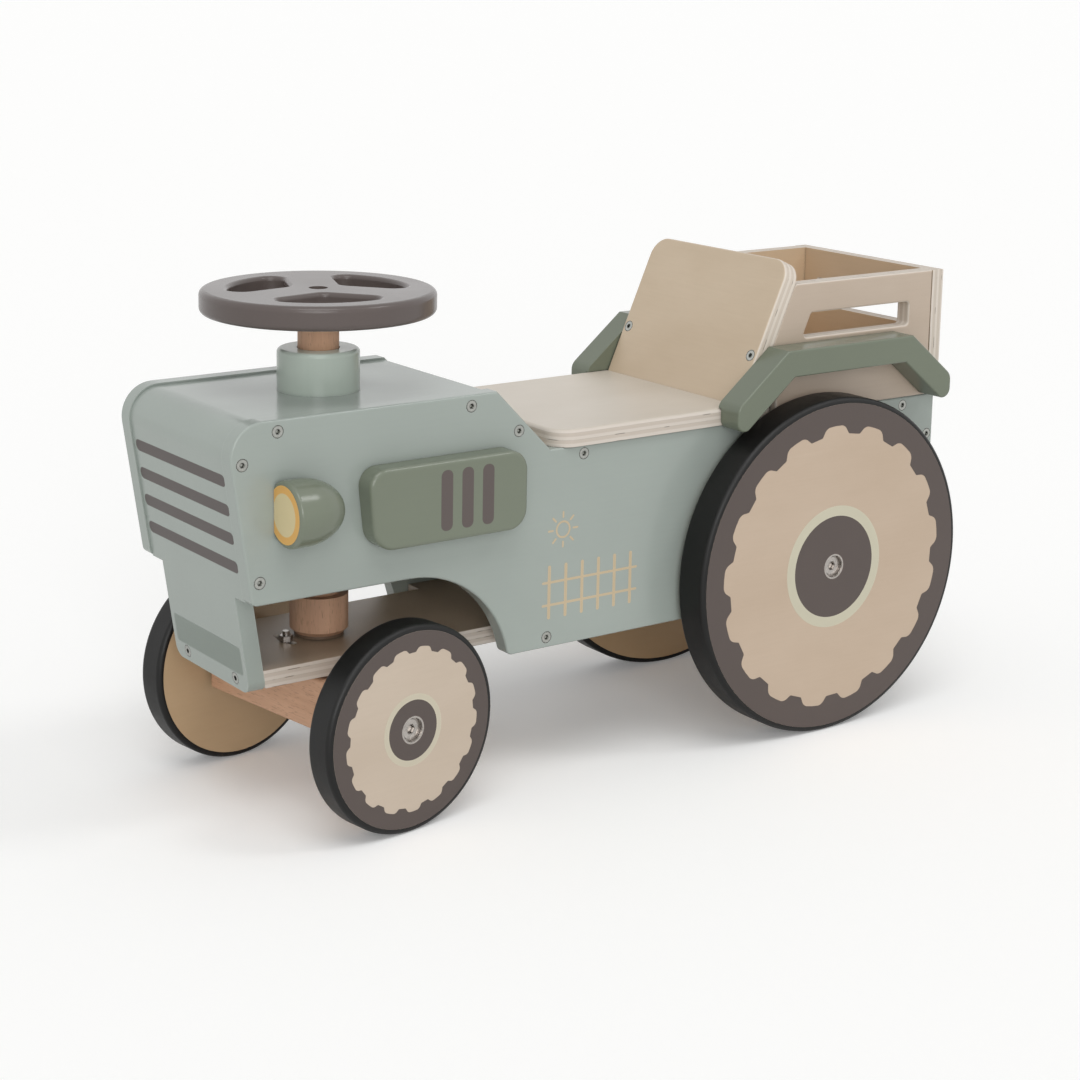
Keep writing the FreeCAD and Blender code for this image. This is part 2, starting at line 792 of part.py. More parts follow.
def box_rear_panel():
    body = new_body("box_rear_panel")
    sketch = outline(body, "XZ_Plane", "-back_y", rectangle(
        "-half_width", "deck_height", "half_width", "box_height"))
    pad(body, sketch, "ply")
    half = "rear_window_width / 2"
    window = outline(body, "XZ_Plane", "-back_y", rectangle(
        "-" + half, "window_top - rear_window_height", half, "window_top"))
    cut(body, window, "ply", reverse=True)
    round_edges(body, corner_edges(body, window, [0, 1, 2, 3]), "window_radius")
    round_edges(body, face_edges(body, FreeCAD.Vector(0, 1, 0)), "soft_edge")
    return body


def fender(side, sign):
    # Three straight lengths over the rear wheel with plumb ends, relieved where the seat board's edge passes
    body = new_body("fender_" + side)
    front_end = "fender_front_y - fender_front_leg"
    back_end = "fender_back_y + fender_back_leg"
    front_drop = "fender_front_leg * tan(fender_angle)"
    back_drop = "fender_back_leg * tan(fender_angle)"
    end_height = "fender_thickness / cos(fender_angle)"
    sketch = outline(body, "YZ_Plane", "half_width" if sign > 0 else "-half_width", [
        ("fender_front_y", "fender_top"),
        (front_end, f"fender_top - {front_drop}"),
        (front_end, f"fender_top - {front_drop} - {end_height}"),
        ("fender_front_y + fender_mitre", "fender_bottom"),
        ("fender_back_y - fender_mitre", "fender_bottom"),
        (back_end, f"fender_top - {back_drop} - {end_height}"),
        (back_end, f"fender_top - {back_drop}"),
        ("fender_back_y", "fender_top"),
    ])
    pad(body, sketch, "fender_width", reverse=sign < 0)
    round_edges(body, corner_edges(body, sketch, [1, 6]), "fender_radius")
    round_edges(body, corner_edges(body, sketch, [2, 5]), "fender_foot_radius")
    relief = outline(body, "YZ_Plane", "half_width" if sign > 0 else "-half_width", rectangle(
        f"{front_end} - ply", "deck_height - ply", "seat_tail_y + fit_gap", "seat_top + fit_gap"))
    cut(body, relief, "seat_overhang + fit_gap", reverse=sign > 0)
    round_edges(body, face_edges(body, outward * sign), "soft_edge")
    return body


def headlight(side, sign):
    # Bullet with a flat front face, cut flat where it lies on the side panel
    body = new_body("headlight_" + side)
    profile = outline(body, "XY_Plane", "0", rectangle("0", "0", "lamp_radius", "lamp_length"))
    turn_profile(body, profile, "V_Axis")
    rear = face_edges(body, FreeCAD.Vector(0, 1, 0))
    round_edges(body, rear, "lamp_radius - lamp_edge")
    seat = outline(body, "YZ_Plane", "-lamp_offset", rectangle(
        "-lamp_edge", "-lamp_radius", "lamp_length + lamp_edge", "lamp_radius"))
    cut(body, seat, "lamp_radius")
    reach = "half_width + lamp_offset" if sign > 0 else "-half_width - lamp_offset"
    angle = "0" if sign > 0 else "180"
    place(body, reach, "axis_y - lamp_run", "hood_height - lamp_drop", angle, FreeCAD.Vector(0, 1, 0))
    return body


def engine_cover(side, sign):
    body = new_body("engine_cover_" + side)
    middle = "axis_y + cover_run"
    height = "hood_height - cover_drop"
    sketch = outline(body, "YZ_Plane", "half_width" if sign > 0 else "-half_width", rectangle(
        f"{middle} - cover_length / 2", f"{height} - cover_height / 2",
        f"{middle} + cover_length / 2", f"{height} + cover_height / 2"))
    pad(body, sketch, "cover_thickness", reverse=sign < 0)
    round_edges(body, corner_edges(body, sketch, [0, 1, 2, 3]), "cover_radius")
    round_edges(body, face_edges(body, outward * sign), "cover_edge")
    return body


def rear_axle_block():
    body = new_body("rear_axle_block")
    sketch = outline(body, "YZ_Plane", "0", rectangle(
        "axle_y - block_depth / 2", "rear_tyre_radius - block_height / 2",
        "axle_y + block_depth / 2", "rear_tyre_radius + block_height / 2"))
    pad(body, sketch, "2 * inner_half", symmetric=True)
    hole = [("axle_y", "rear_tyre_radius")]
    cut(body, circles(body, "YZ_Plane", "inner_half", hole, "bolt_radius + running_fit"), "bolt_grip")
    right = circles(body, "YZ_Plane", "-inner_half", hole, "bolt_radius + running_fit")
    cut(body, right, "bolt_grip", reverse=True)
    return body


# Steering column, turned on its own upright axis

def steering_collar():
    body = new_body("steering_collar")
    sketch = outline(body, "XZ_Plane", "0", rectangle(
        "shaft_radius + collar_play", "shell_top", "collar_diameter / 2", "collar_top"))
    turn_profile(body, sketch, "V_Axis")
    outer = [name for name in face_edges(body, upward) if name in rim_edges(body)]
    round_edges(body, outer, "collar_edge")
    place(body, "0", "axis_y", "0")
    return body


def steering_wheel():
    # Rim with three spokes, rounded all round
    body = new_body("steering_wheel")
    rim = outline(body, "XZ_Plane", "0", rectangle(
        "steering_radius - rim_width", "steering_bottom", "steering_radius", "steering_top"))
    turn_profile(body, rim, "V_Axis")
    spoke = outline(body, "XY_Plane", "steering_bottom", rectangle(
        "-spoke_width / 2", "-(steering_radius - rim_width / 2)", "spoke_width / 2", "0"))
    pad(body, spoke, "steering_thickness")
    pattern = body.newObject("PartDesign::PolarPattern", "PolarPattern")
    pattern.Originals = [pattern_source(body)]
    pattern.Axis = (spoke, ["N_Axis"])
    pattern.Angle = 360
    pattern.Occurrences = 3
    body.Tip = pattern
    doc.recompute()
    round_edges(body, spoke_corners(body), "spoke_radius")
    round_edges(body, rim_edges(body), "steering_edge")
    round_edges(body, window_rims(body), "spoke_edge")
    head = circles(body, "XY_Plane", "steering_top", [("0", "0")], "steering_head_diameter / 2 + fit_gap")
    cut(body, head, "head_recess")
    bore = circles(body, "XY_Plane", "steering_top", [("0", "0")], "steering_bolt_diameter / 2 + running_fit")
    cut(body, bore, "steering_thickness")
    place_on_column(body)
    return body


def pattern_source(body):
    return [item for item in body.Group if item.TypeId == "PartDesign::Pad"][-1]


def spoke_corners(body):
    # Upright inner corners between spokes and rim, but not the seams of the round faces
    def upright(edge):
        box = edge.BoundBox
        straight = edge.Curve.TypeId == "Part::GeomLine"
        return straight and box.XLength + box.YLength < 1e-6 and abs(edge.Vertexes[0].Y) > 1e-3
    return edge_names(body.Tip.Shape, upright)


def window_rims(body):
    # Edges of the openings on the top and bottom faces
    faces = face_edges(body, upward) + face_edges(body, -upward)
    reach = sheet.steering_diameter / 2 - sheet.rim_width / 2

    def inside(name):
        edge = body.Tip.Shape.getElement(name)
        point = edge.valueAt(edge.FirstParameter)
        return math.hypot(point.x, point.y) < reach
    return [name for name in faces if inside(name)]


def steering_shaft():
    body = new_body("steering_shaft")
    low = "beam_top - socket_depth"
    sketch = outline(body, "XZ_Plane", "0", rectangle("0", low, "shaft_radius", "steering_bottom"))
    turn_profile(body, sketch, "V_Axis")
    bore_radius = "steering_bolt_diameter / 2 + running_fit"
    bore = circles(body, "XY_Plane", "steering_bottom", [("0", "0")], bore_radius)
    cut(body, bore, "steering_bolt_length")
    place_on_column(body)
    return body


def steering_bolt():
    body = new_body("steering_bolt")
    seat = "steering_top - head_recess"
    shank = "steering_bolt_diameter / 2"
    head = "steering_head_diameter / 2"
    sketch = outline(body, "XZ_Plane", "0", [
        ("0", f"{seat} - steering_bolt_length"),
        (shank, f"{seat} - steering_bolt_length"),
        (shank, seat),
        (head, seat),
        (head, f"{seat} + steering_head_height"),
        ("0", f"{seat} + steering_head_height"),
    ])
    turn_profile(body, sketch, "V_Axis")
    place_on_column(body)
    return body


def retaining_collar():
    # Ring on the shaft that keeps it from dropping through the shelf
    body = new_body("retaining_collar")
    sketch = outline(body, "XZ_Plane", "0", rectangle(
        "shaft_radius + running_fit", "bush_bottom",
        "shaft_radius + collar_bush_wall", "bush_bottom + collar_bush_height"))
    turn_profile(body, sketch, "V_Axis")
    lower = [name for name in face_edges(body, -upward) if name in rim_edges(body)]
    round_edges(body, lower, "collar_bush_chamfer", kind="Chamfer")
    place_on_column(body)
    return body


def thrust_washers():
    # One ring under the shelf and one above it, both on the shaft
    inner = layout.shaft_radius + sheet.running_fit
    outer = layout.shaft_radius + sheet.washer_rim
    rings = []
    for bottom in (layout.beam_top, layout.shelf_top + sheet.fit_gap):
        foot = FreeCAD.Vector(0, 0, bottom)
        ring = Part.makeCylinder(outer, sheet.washer_thickness, foot)
        rings.append(ring.cut(Part.makeCylinder(inner, sheet.washer_thickness, foot)))
    item = group("thrust_washers", rings)
    place_on_column(item)
    return item


def front_axle_beam():
    # Beam under the shelf with the wheel bolts in its middle and the shaft's socket behind that
    body = new_body("front_axle_beam")
    half = "beam_length / 2"
    sketch = outline(body, "XY_Plane", "beam_bottom", rectangle(
        f"-{half}", "-axle_lead - beam_depth / 2", half, "beam_depth / 2 - axle_lead"))
    pad(body, sketch, "beam_top - beam_bottom")
    long_edges = edge_names(body.Tip.Shape, lambda edge: edge.BoundBox.XLength > 1)
    round_edges(body, long_edges, "beam_edge")
    socket = circles(body, "XY_Plane", "beam_top", [("0", "0")], "shaft_radius + running_fit")
    cut(body, socket, "socket_depth")
    stop = circles(body, "XY_Plane", "beam_top", [("0", "-stop_radius")], "stop_diameter / 2 + running_fit")
    cut(body, stop, "stop_depth + fit_gap")
    hole = [("-axle_lead", "front_tyre_radius")]
    cut(body, circles(body, "YZ_Plane", half, hole, "bolt_radius + running_fit"), "bolt_grip")
    right = circles(body, "YZ_Plane", f"-{half}", hole, "bolt_radius + running_fit")
    cut(body, right, "bolt_grip", reverse=True)
    place_on_column(body)
    return body


def stop_bolt():
    # Upright pin in the beam whose head end runs in the shelf's arc slot
    body = new_body("stop_bolt")
    pin = circles(body, "XY_Plane", "beam_top - stop_depth", [("0", "-stop_radius")], "stop_diameter / 2")
    pad(body, pin, "stop_depth + shelf_top - beam_top + fit_gap + nut_height + stop_thread")
    place_on_column(body)
    return body


def stop_nut():
    body = new_body("stop_nut")
    pad(body, hexagon(body, "shelf_top + fit_gap", "nut_width", "-stop_radius"), "nut_height")
    bore = circles(body, "XY_Plane", "shelf_top + fit_gap", [("0", "-stop_radius")],
                   "stop_diameter / 2 + running_fit")
    cut(body, bore, "nut_height", reverse=True)
    place_on_column(body)
    return body


def hexagon(body, offset, width, shift="0", plane="XY_Plane"):
    # Six corners around a centre moved along the sketch's upright axis
    radius = f"{width} / 2 / cos(30)"
    corners = [(f"{radius} * cos({60 * i})", f"{shift} + {radius} * sin({60 * i})") for i in range(6)]
    return outline(body, plane, offset, corners)


# Wheels, drawn along X from their inner face

def wheel_disc(label, tyre_radius, width):
    edge = f"{tyre_radius} - tyre_thickness - running_fit"
    bore = "hub_bush_radius + running_fit"
    pocket = "cup_radius + running_fit"
    return turned(label, [
        ("0", bore),
        ("0", edge),
        (width, edge),
        (width, pocket),
        (f"{width} - cup_depth", pocket),
        (f"{width} - cup_depth", bore),
    ])


def wheel_tyre(label, tyre_radius, width):
    body = turned(label, rectangle("0", f"{tyre_radius} - tyre_thickness", width, tyre_radius))
    round_edges(body, rim_edges(body), "tyre_thickness - tyre_flat")
    return body


def hub_bush(label, width):
    return turned(label, rectangle("0", "bolt_radius + running_fit", f"{width} - cup_depth", "hub_bush_radius"))


def hub_cup(label, width):
    # Dished steel ring that lines the recess round the bolt head
    floor = f"{width} - cup_depth"
    hole = "bolt_radius + fit_gap"
    return turned(label, [
        (floor, hole),
        (floor, "cup_radius"),
        (width, "cup_radius"),
        (width, "cup_radius - cup_wall"),
        (f"{floor} + cup_wall", "cup_radius - cup_wall"),
        (f"{floor} + cup_wall", hole),
    ])


def wheel_bolt(label, width, reach):
    # Shouldered bolt with a hexagon socket
    seat = f"{width} - cup_depth + cup_wall + fit_gap"
    top = f"{seat} + bolt_head_height"
    body = turned(label, [
        (f"fit_gap - ({reach})", "0"),
        (f"fit_gap - ({reach})", "bolt_radius"),
        (seat, "bolt_radius"),
        (seat, "bolt_head_diameter / 2"),
        (top, "bolt_head_diameter / 2"),
        (top, "0"),
    ])
    cut(body, hexagon(body, top, "bolt_socket", plane="YZ_Plane"), "socket_hollow")
    return body


def wheel_set(axle, side, turn):
    # The four pieces that turn together, and the bolt they turn on
    front = axle == "front"
    name = f"{axle}_{side}"
    tyre_radius = axle + "_tyre_radius"
    width = axle + "_wheel_width"
    grip = "wheel_gap + bolt_grip" if front else "wheel_gap + ply + bolt_grip"
    items = [
        wheel_disc(f"wheel_disc_{name}", tyre_radius, width),
        wheel_tyre(f"tyre_{name}", tyre_radius, width),
        hub_bush(f"hub_bush_{name}", width),
        hub_cup(f"hub_cup_{name}", width),
        wheel_bolt(f"wheel_bolt_{name}", width, grip),
    ]
    for item in items:
        if front:
            place_on_beam(item, "front_wheel_x", turn)
        else:
            place_on_axle(item, "rear_wheel_x", turn)
    return items


def spacers(label, start, lead, height):
    # Two rings between the fixed wood and the turning wheels, along X either side of the middle
    length = sheet.wheel_gap - sheet.fit_gap
    rings = []
    for side, sign in sides:
        foot = FreeCAD.Vector(sign * start, -lead, height)
        outer = Part.makeCylinder(sheet.spacer_diameter / 2, length, foot, outward * sign)
        inner = Part.makeCylinder(layout.bolt_radius + sheet.running_fit, length, foot, outward * sign)
        rings.append(outer.cut(inner))
    return group(label, rings)


# Wood screws, one in each circle of the sketches that countersink the boards

def wood_screw():
    # Head flush at the origin, point down the Z axis
    head = sheet.screw_head / 2
    shank = sheet.screw_diameter / 2
    cone = (head - shank) / math.tan(math.radians(sheet.screw_cone_angle / 2))
    profile = [(0, 0), (head, 0), (shank, -cone), (shank, -sheet.screw_length), (0, -sheet.screw_length)]
    points = [FreeCAD.Vector(across, 0, up) for across, up in profile + profile[:1]]
    body = Part.Face(Part.makePolygon(points)).revolve(FreeCAD.Vector(), upward, 360)
    radius = sheet.screw_socket / 2 / math.cos(math.radians(30))
    ring = [FreeCAD.Vector(radius * math.cos(math.radians(60 * i)), radius * math.sin(math.radians(60 * i)), 0)
            for i in range(7)]
    socket = Part.Face(Part.makePolygon(ring)).extrude(FreeCAD.Vector(0, 0, -sheet.screw_hollow))
    return body.cut(socket)


def screws(label, boards):
    turned_over = FreeCAD.Rotation(FreeCAD.Vector(1, 0, 0), 180)
    solids = []
    for board in boards:
        body, sketch, reverse = screw_seats[board]
        for number in range(len(sketch.Geometry)):
            spot = FreeCAD.Placement(sketch.getPoint(number, 3), turned_over if reverse else FreeCAD.Rotation())
            screw = wood_screw()
            screw.Placement = body.Placement * sketch.Placement * spot
            solids.append(screw)
    return group(label, solids)


# The whole tractor

nodes = [
    hood_shell(),
    dashboard_panel(),
    shelf_plate(),
    deck_board(),
    rear_cross_panel(),
    seat_board(),
    backrest(),
    box_rear_panel(),
    rear_axle_block(),
    steering_collar(),
    steering_wheel(),
    steering_shaft(),
    steering_bolt(),
    retaining_collar(),
    thrust_washers(),
    front_axle_beam(),
    stop_bolt(),
    stop_nut(),
]
for side, sign in sides:
    nodes += [
        side_panel(side, sign),
        box_side(side, sign),
        fender(side, sign),
        headlight(side, sign),
        engine_cover(side, sign),
    ]
    turn = "0" if sign > 0 else "180"
    nodes += wheel_set("front", side, turn)
    nodes += wheel_set("rear", side, turn)

front_spacers = spacers("front_spacers", sheet.beam_length / 2, sheet.axle_lead, sheet.front_tyre_radius)
place_on_column(front_spacers)
rear_spacers = spacers("rear_spacers", layout.half_width, 0, sheet.rear_tyre_radius)
place(rear_spacers, "0", "axle_y", "0")
nodes += [
    front_spacers,
    rear_spacers,
    screws("body_screws", ["side_panel_left", "side_panel_right"]),
    screws("backrest_screws", ["backrest"]),
    screws("tongue_screws", ["hood_shell"]),
]
doc.recompute()

# Every object has to be sound before its file is written
for item in doc.Objects:
    if "Invalid" in item.State or "Error" in item.State:
        raise RuntimeError(f"{item.Label} failed: {item.State}")
os.makedirs("parts", exist_ok=True)
for node in nodes:
    if node.Shape.isNull() or not node.Shape.isValid():
        raise RuntimeError(f"{node.Label} has no sound shape")
    node.Shape.exportStep(f"parts/{node.Label}.step")
print(len(nodes), "nodes written")
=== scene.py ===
import math

import bmesh
import bpy
from mathutils import Matrix, Quaternion, Vector


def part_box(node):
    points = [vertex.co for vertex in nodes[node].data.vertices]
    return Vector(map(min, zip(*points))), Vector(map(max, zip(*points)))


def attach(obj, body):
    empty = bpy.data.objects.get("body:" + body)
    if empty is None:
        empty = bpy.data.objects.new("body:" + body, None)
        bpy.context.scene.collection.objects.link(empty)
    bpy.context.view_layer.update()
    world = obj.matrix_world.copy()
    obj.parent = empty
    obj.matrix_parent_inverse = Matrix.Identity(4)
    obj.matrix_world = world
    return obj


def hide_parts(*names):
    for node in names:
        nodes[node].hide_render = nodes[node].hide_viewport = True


# Looks of the wooden ride-on tractor. Metres, front is -Y, the driver's left is +X.
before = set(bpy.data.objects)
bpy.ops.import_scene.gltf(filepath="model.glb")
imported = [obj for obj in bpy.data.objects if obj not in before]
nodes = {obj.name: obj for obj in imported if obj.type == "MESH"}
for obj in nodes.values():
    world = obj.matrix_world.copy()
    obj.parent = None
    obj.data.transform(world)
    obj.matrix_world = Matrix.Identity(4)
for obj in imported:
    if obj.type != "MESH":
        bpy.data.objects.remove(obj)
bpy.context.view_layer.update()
sides = {"left": 1, "right": -1}
steerRest = math.radians(8)  # the front axle is turned by this at rest
print("frame loaded:", len(nodes), "nodes")


# Small helpers for shader nodes

streakRoughness = 0.6
bendSpan = (0.995, 0.80)  # how well rounded and real normals agree: flat face, edge
gapSpan = (0.80, 0.35)    # how open a place is: free, deep in a gap


def screenColour(red, green, blue):  # 0 to 255 as on a screen, to the linear colour of a shader
    def curve(value):
        share = value / 255
        return share / 12.92 if share <= 0.04045 else ((share + 0.055) / 1.055) ** 2.4
    return curve(red), curve(green), curve(blue), 1


def shaded(colour, share):  # the same colour, lighter or darker
    return tuple(min(part * share, 1) for part in colour[:3]) + (1,)


def addNode(tree, kind, inputs, **settings):
    node = tree.nodes.new("ShaderNode" + kind)
    for name, value in settings.items():
        setattr(node, name, value)
    for name, value in inputs.items():
        if isinstance(value, bpy.types.NodeSocket):
            tree.links.new(value, node.inputs[name])
        else:
            node.inputs[name].default_value = value
    return node


def calc(tree, operation, first, second=0.0):
    return addNode(tree, "Math", {0: first, 1: second}, operation=operation).outputs[0]


def mixColour(tree, share, first, second, mode="MIX"):
    inputs = {0: share, 6: first, 7: second}
    return addNode(tree, "Mix", inputs, data_type="RGBA", blend_type=mode).outputs[2]


def spread(tree, value, low, high, newLow, newHigh):
    inputs = {"Value": value, "From Min": low, "From Max": high, "To Min": newLow, "To Max": newHigh}
    return addNode(tree, "MapRange", inputs).outputs[0]


def tinted(tree, colour, value, stain, base):  # a stain of the base colour over the value's span
    share = spread(tree, value, *stain["span"], 0.0, stain["share"])
    return mixColour(tree, share, colour, shaded(base, stain["tone"]))


def colourRamp(tree, value, stops):
    node = addNode(tree, "ValToRGB", {"Fac": value})
    elements = node.color_ramp.elements
    for element, (place, colour) in zip(elements, (stops[0], stops[-1])):
        element.position = place
        element.color = colour
    for place, colour in stops[1:-1]:
        elements.new(place).color = colour
    return node.outputs["Color"]


def startMaterial(name):
    material = bpy.data.materials.new(name)
    material.use_nodes = True
    return material, material.node_tree, material.node_tree.nodes["Principled BSDF"]


def setShader(tree, shader, **sockets):
    for name, value in sockets.items():
        socket = shader.inputs[name.replace("_", " ")]
        if isinstance(value, bpy.types.NodeSocket):
            tree.links.new(value, socket)
        else:
            socket.default_value = value


def boardTurn(grain, through):  # X goes with the grain, Z through the thickness
    alongX = Vector(grain).normalized()
    alongZ = Vector(through).normalized()
    return Matrix((alongX, alongZ.cross(alongX), alongZ)).transposed().to_euler()


def ownCoords(tree, centre, turn):  # place and facing as the piece itself sees them
    source = addNode(tree, "TexCoord", {}).outputs
    placing = {"Vector": source["Object"], "Location": centre, "Rotation": turn}
    place = addNode(tree, "Mapping", placing, vector_type="TEXTURE")
    facing = addNode(tree, "Mapping", {"Vector": source["Normal"], "Rotation": turn}, vector_type="TEXTURE")
    return place.outputs[0], facing.outputs[0]


def objectPlace(tree):
    return addNode(tree, "TexCoord", {}).outputs["Object"]


def partOf(tree, vector, axis):
    return addNode(tree, "SeparateXYZ", {0: vector}).outputs[axis]


def clouds(tree, place, scale, detail, roughness=0.5):
    inputs = {"Vector": place, "Scale": scale, "Detail": detail, "Roughness": roughness}
    return addNode(tree, "TexNoise", inputs).outputs[0]


def streaks(tree, place, along, across, detail=4.0):  # noise drawn out along X, sizes per metre
    stretched = addNode(tree, "VectorMath", {0: place, 1: (along, across, across)}, operation="MULTIPLY")
    return clouds(tree, stretched.outputs[0], 1.0, detail, streakRoughness)


def bumpFrom(tree, height, depth):
    return addNode(tree, "Bump", {"Height": height, "Distance": depth}).outputs[0]


def twoReliefs(tree, first, firstShare, second, secondShare):
    firstPart = calc(tree, "MULTIPLY", first, firstShare)
    return calc(tree, "ADD", firstPart, calc(tree, "MULTIPLY", second, secondShare))


def edgeShare(tree, width):  # 1 on sharp and rounded edges, 0 on flat faces
    soft = addNode(tree, "Bevel", {"Radius": width}, samples=4).outputs[0]
    flat = addNode(tree, "NewGeometry", {}).outputs["Normal"]
    agreed = addNode(tree, "VectorMath", {0: soft, 1: flat}, operation="DOT_PRODUCT").outputs["Value"]
    return spread(tree, agreed, *bendSpan, 0.0, 1.0)


def shadeInGaps(tree, reach):  # 1 deep in gaps and recesses, 0 in the open: where shade is painted
    clear = addNode(tree, "AmbientOcclusion", {"Distance": reach}, samples=4).outputs["AO"]
    return spread(tree, clear, *gapSpan, 0.0, 1.0)


# Satin paint on wood: a little uneven, with the wood just telling through, paler edges that are part wear and
# part painted highlight, and painted shade in joints

paints = {
    "sagePaint": {
        "colour": screenColour(157, 165, 159), "roughness": 0.18, "specular": 0.38, "grain": (0, 1, 0),
    },
    # a lighter copy of the sage paint: painted light on the collar, which the steering wheel shades
    "collarLitSage": {
        "colour": screenColour(178, 189, 179), "roughness": 0.18, "specular": 0.45, "grain": (0, 0, 1),
    },
    "olivePaint": {
        "colour": screenColour(114, 121, 105), "roughness": 0.22, "specular": 0.5, "grain": (0, 1, 0),
    },
    # a darker copy of the olive paint: painted shade on the fenders' sides
    "fenderShadedOlive": {
        "colour": screenColour(109, 116, 100), "roughness": 0.23, "specular": 0.45, "grain": (0, 1, 0),
    },
    "taupePaint": {
        "colour": screenColour(92, 83, 80), "roughness": 0.23, "specular": 0.38, "grain": (0, 0, 1),
    },
    "darkTaupe": {
        "colour": screenColour(84, 74, 70), "roughness": 0.34, "specular": 0.4, "grain": (0, 0, 1),
    },
    "barPaint": {
        "colour": screenColour(76, 67, 64), "roughness": 0.33, "specular": 0.35, "grain": (1, 0, 0),
    },
}
thinPaint = {"roughness": 0.33, "specular": 0.4, "grain": (0, 1, 0)}  # of drawn pieces with one colour each
paintSurface = {
    "cloud": (14.0, 3.0),  # scale and detail
    "uneven": 0.05,        # of the colour, both ways
    "wood": (18, 420),
    "woodStain": {"span": (0.30, 0.90), "share": 0.10, "tone": 0.80},
    "edgeWidth": 0.0012,
    "edgeShare": 0.60,
    "edgeTone": 1.55,
    "gapShadeReach": 0.003,
    "gapShadeTone": 0.30,
    "frontSpan": (-0.90, -0.60),  # of the facing along the grain, from the body's front to its sides
    "gapShadeShare": (0.05, 0.50),   # painted shade in joints hardly shows on the front
    "peel": (900.0, 2.0),
    "woodRelief": 0.6,
    "peelRelief": 0.4,
    "relief": 0.00004,
    "roughness": 0.08,  # more or less than the paint's own
}


def paintMaterial(name, look, surface=paintSurface):
    material, tree, shader = startMaterial(name)
    paint = look["colour"]
    place, facing = ownCoords(tree, (0, 0, 0), boardTurn(look["grain"], (1, 0, 0)))
    cloud = clouds(tree, place, *surface["cloud"])
    wood = streaks(tree, place, *surface["wood"])
    darker, paler = shaded(paint, 1 - surface["uneven"]), shaded(paint, 1 + surface["uneven"])
    colour = mixColour(tree, cloud, darker, paler)
    colour = tinted(tree, colour, wood, surface["woodStain"], paint)
    # paler edges: part wear, part painted highlight along the rounded edges
    edgePatches = spread(tree, cloud, 0.0, 1.0, 0.0, surface["edgeShare"])
    wearAndHighlight = calc(tree, "MULTIPLY", edgeShare(tree, surface["edgeWidth"]), edgePatches)
    colour = mixColour(tree, wearAndHighlight, colour, shaded(paint, surface["edgeTone"]))
    # painted shade in joints and gaps, weaker on the body's front
    gapShadeStrength = spread(tree, partOf(tree, facing, "X"), *surface["frontSpan"], *surface["gapShadeShare"])
    paintedGapShade = calc(tree, "MULTIPLY", shadeInGaps(tree, surface["gapShadeReach"]), gapShadeStrength)
    colour = mixColour(tree, paintedGapShade, colour, shaded(paint, surface["gapShadeTone"]))
    peel = clouds(tree, place, *surface["peel"])
    relief = twoReliefs(tree, wood, surface["woodRelief"], peel, surface["peelRelief"])
    smoothest, dullest = look["roughness"] - surface["roughness"], look["roughness"] + surface["roughness"]
    setShader(tree, shader, Base_Color=colour, Normal=bumpFrom(tree, relief, surface["relief"]),
              Specular_IOR_Level=look["specular"],
              Roughness=spread(tree, cloud, 0.0, 1.0, smoothest, dullest))
    return material


paintFinish = {name: paintMaterial(name, look) for name, look in paints.items()}
print("paints:", ", ".join(paintFinish))


# Birch plywood: pale veneer on the faces and its layers on the edges

plyLooks = {
    "seat": {
        "light": screenColour(212, 204, 193), "dark": screenColour(194, 184, 169),
        "edge": screenColour(207, 198, 188), "crossEdge": screenColour(194, 183, 171),
    },
    "back": {
        "light": screenColour(212, 195, 172), "dark": screenColour(188, 167, 140),
        "edge": screenColour(216, 206, 194), "crossEdge": screenColour(203, 191, 177),
    },
    "box": {
        "light": screenColour(195, 180, 164), "dark": screenColour(177, 159, 141),
        "edge": screenColour(212, 203, 192), "crossEdge": screenColour(198, 187, 174),
        # painted light: the box's inner side lighter and warmer
        "inner": (1.24, 1.14, 0.96, 1),
    },
    "shelf": {
        "light": screenColour(203, 182, 159), "dark": screenColour(185, 161, 136),
        "edge": screenColour(207, 198, 188), "crossEdge": screenColour(194, 183, 171),
        "shade": 0.09,
    },
    "frontWheel": {
        "light": screenColour(203, 188, 171), "dark": screenColour(185, 168, 149),
        "edge": screenColour(204, 193, 180), "crossEdge": screenColour(188, 176, 161),
        # painted shade: the wheel's inner face darker and warmer
        "inner": (0.95, 0.82, 0.62, 1),
    },
    "rearWheel": {
        "light": screenColour(197, 178, 158), "dark": screenColour(180, 159, 137),
        "edge": screenColour(204, 193, 180), "crossEdge": screenColour(188, 176, 161),
        # painted shade: the wheel's inner face darker and warmer
        "inner": (0.95, 0.82, 0.62, 1),
    },
}
plySurface = {
    "layer": 0.0024,        # thickness of one layer
    "layerStart": 100.25,   # keeps the count of layers above zero, with a layer in the board's middle
    "figure": (7, 16),
    "fibre": (22, 520),
    "fibreStain": {"span": (0.30, 0.90), "share": 0.14, "tone": 0.86},
    "pores": (110, 2600, 2.0),
    "poreStain": {"span": (0.64, 0.84), "share": 0.26, "tone": 0.68},
    "innerSpan": (0.1, -0.1),
    "shadeShare": 0.7,
    "shadeTone": 0.20,
    "wander": (9, 9, 2.0),
    "wanderBy": 0.12,       # of a pair of layers
    "glueTone": 0.80,
    "edgeStain": {"span": (0.45, 0.9), "share": 0.25, "tone": 0.80},
    "seamSpan": (0.42, 0.48),
    "split": (70, 70, 1.0),
    "splitSpan": (0.60, 0.66),
    "splitShare": 0.85,
    "splitTone": 0.25,
    "edgeSpan": (0.92, 0.62),
    "gapShadeReach": 0.003,
    "gapShadeShare": 0.6,
    "gapShadeTone": 0.30,
    "fibreRelief": 0.7,
    "poreRelief": -0.3,
    "relief": 0.00006,
    "roughness": (0.40, 0.62),  # on the faces and on the edges
}


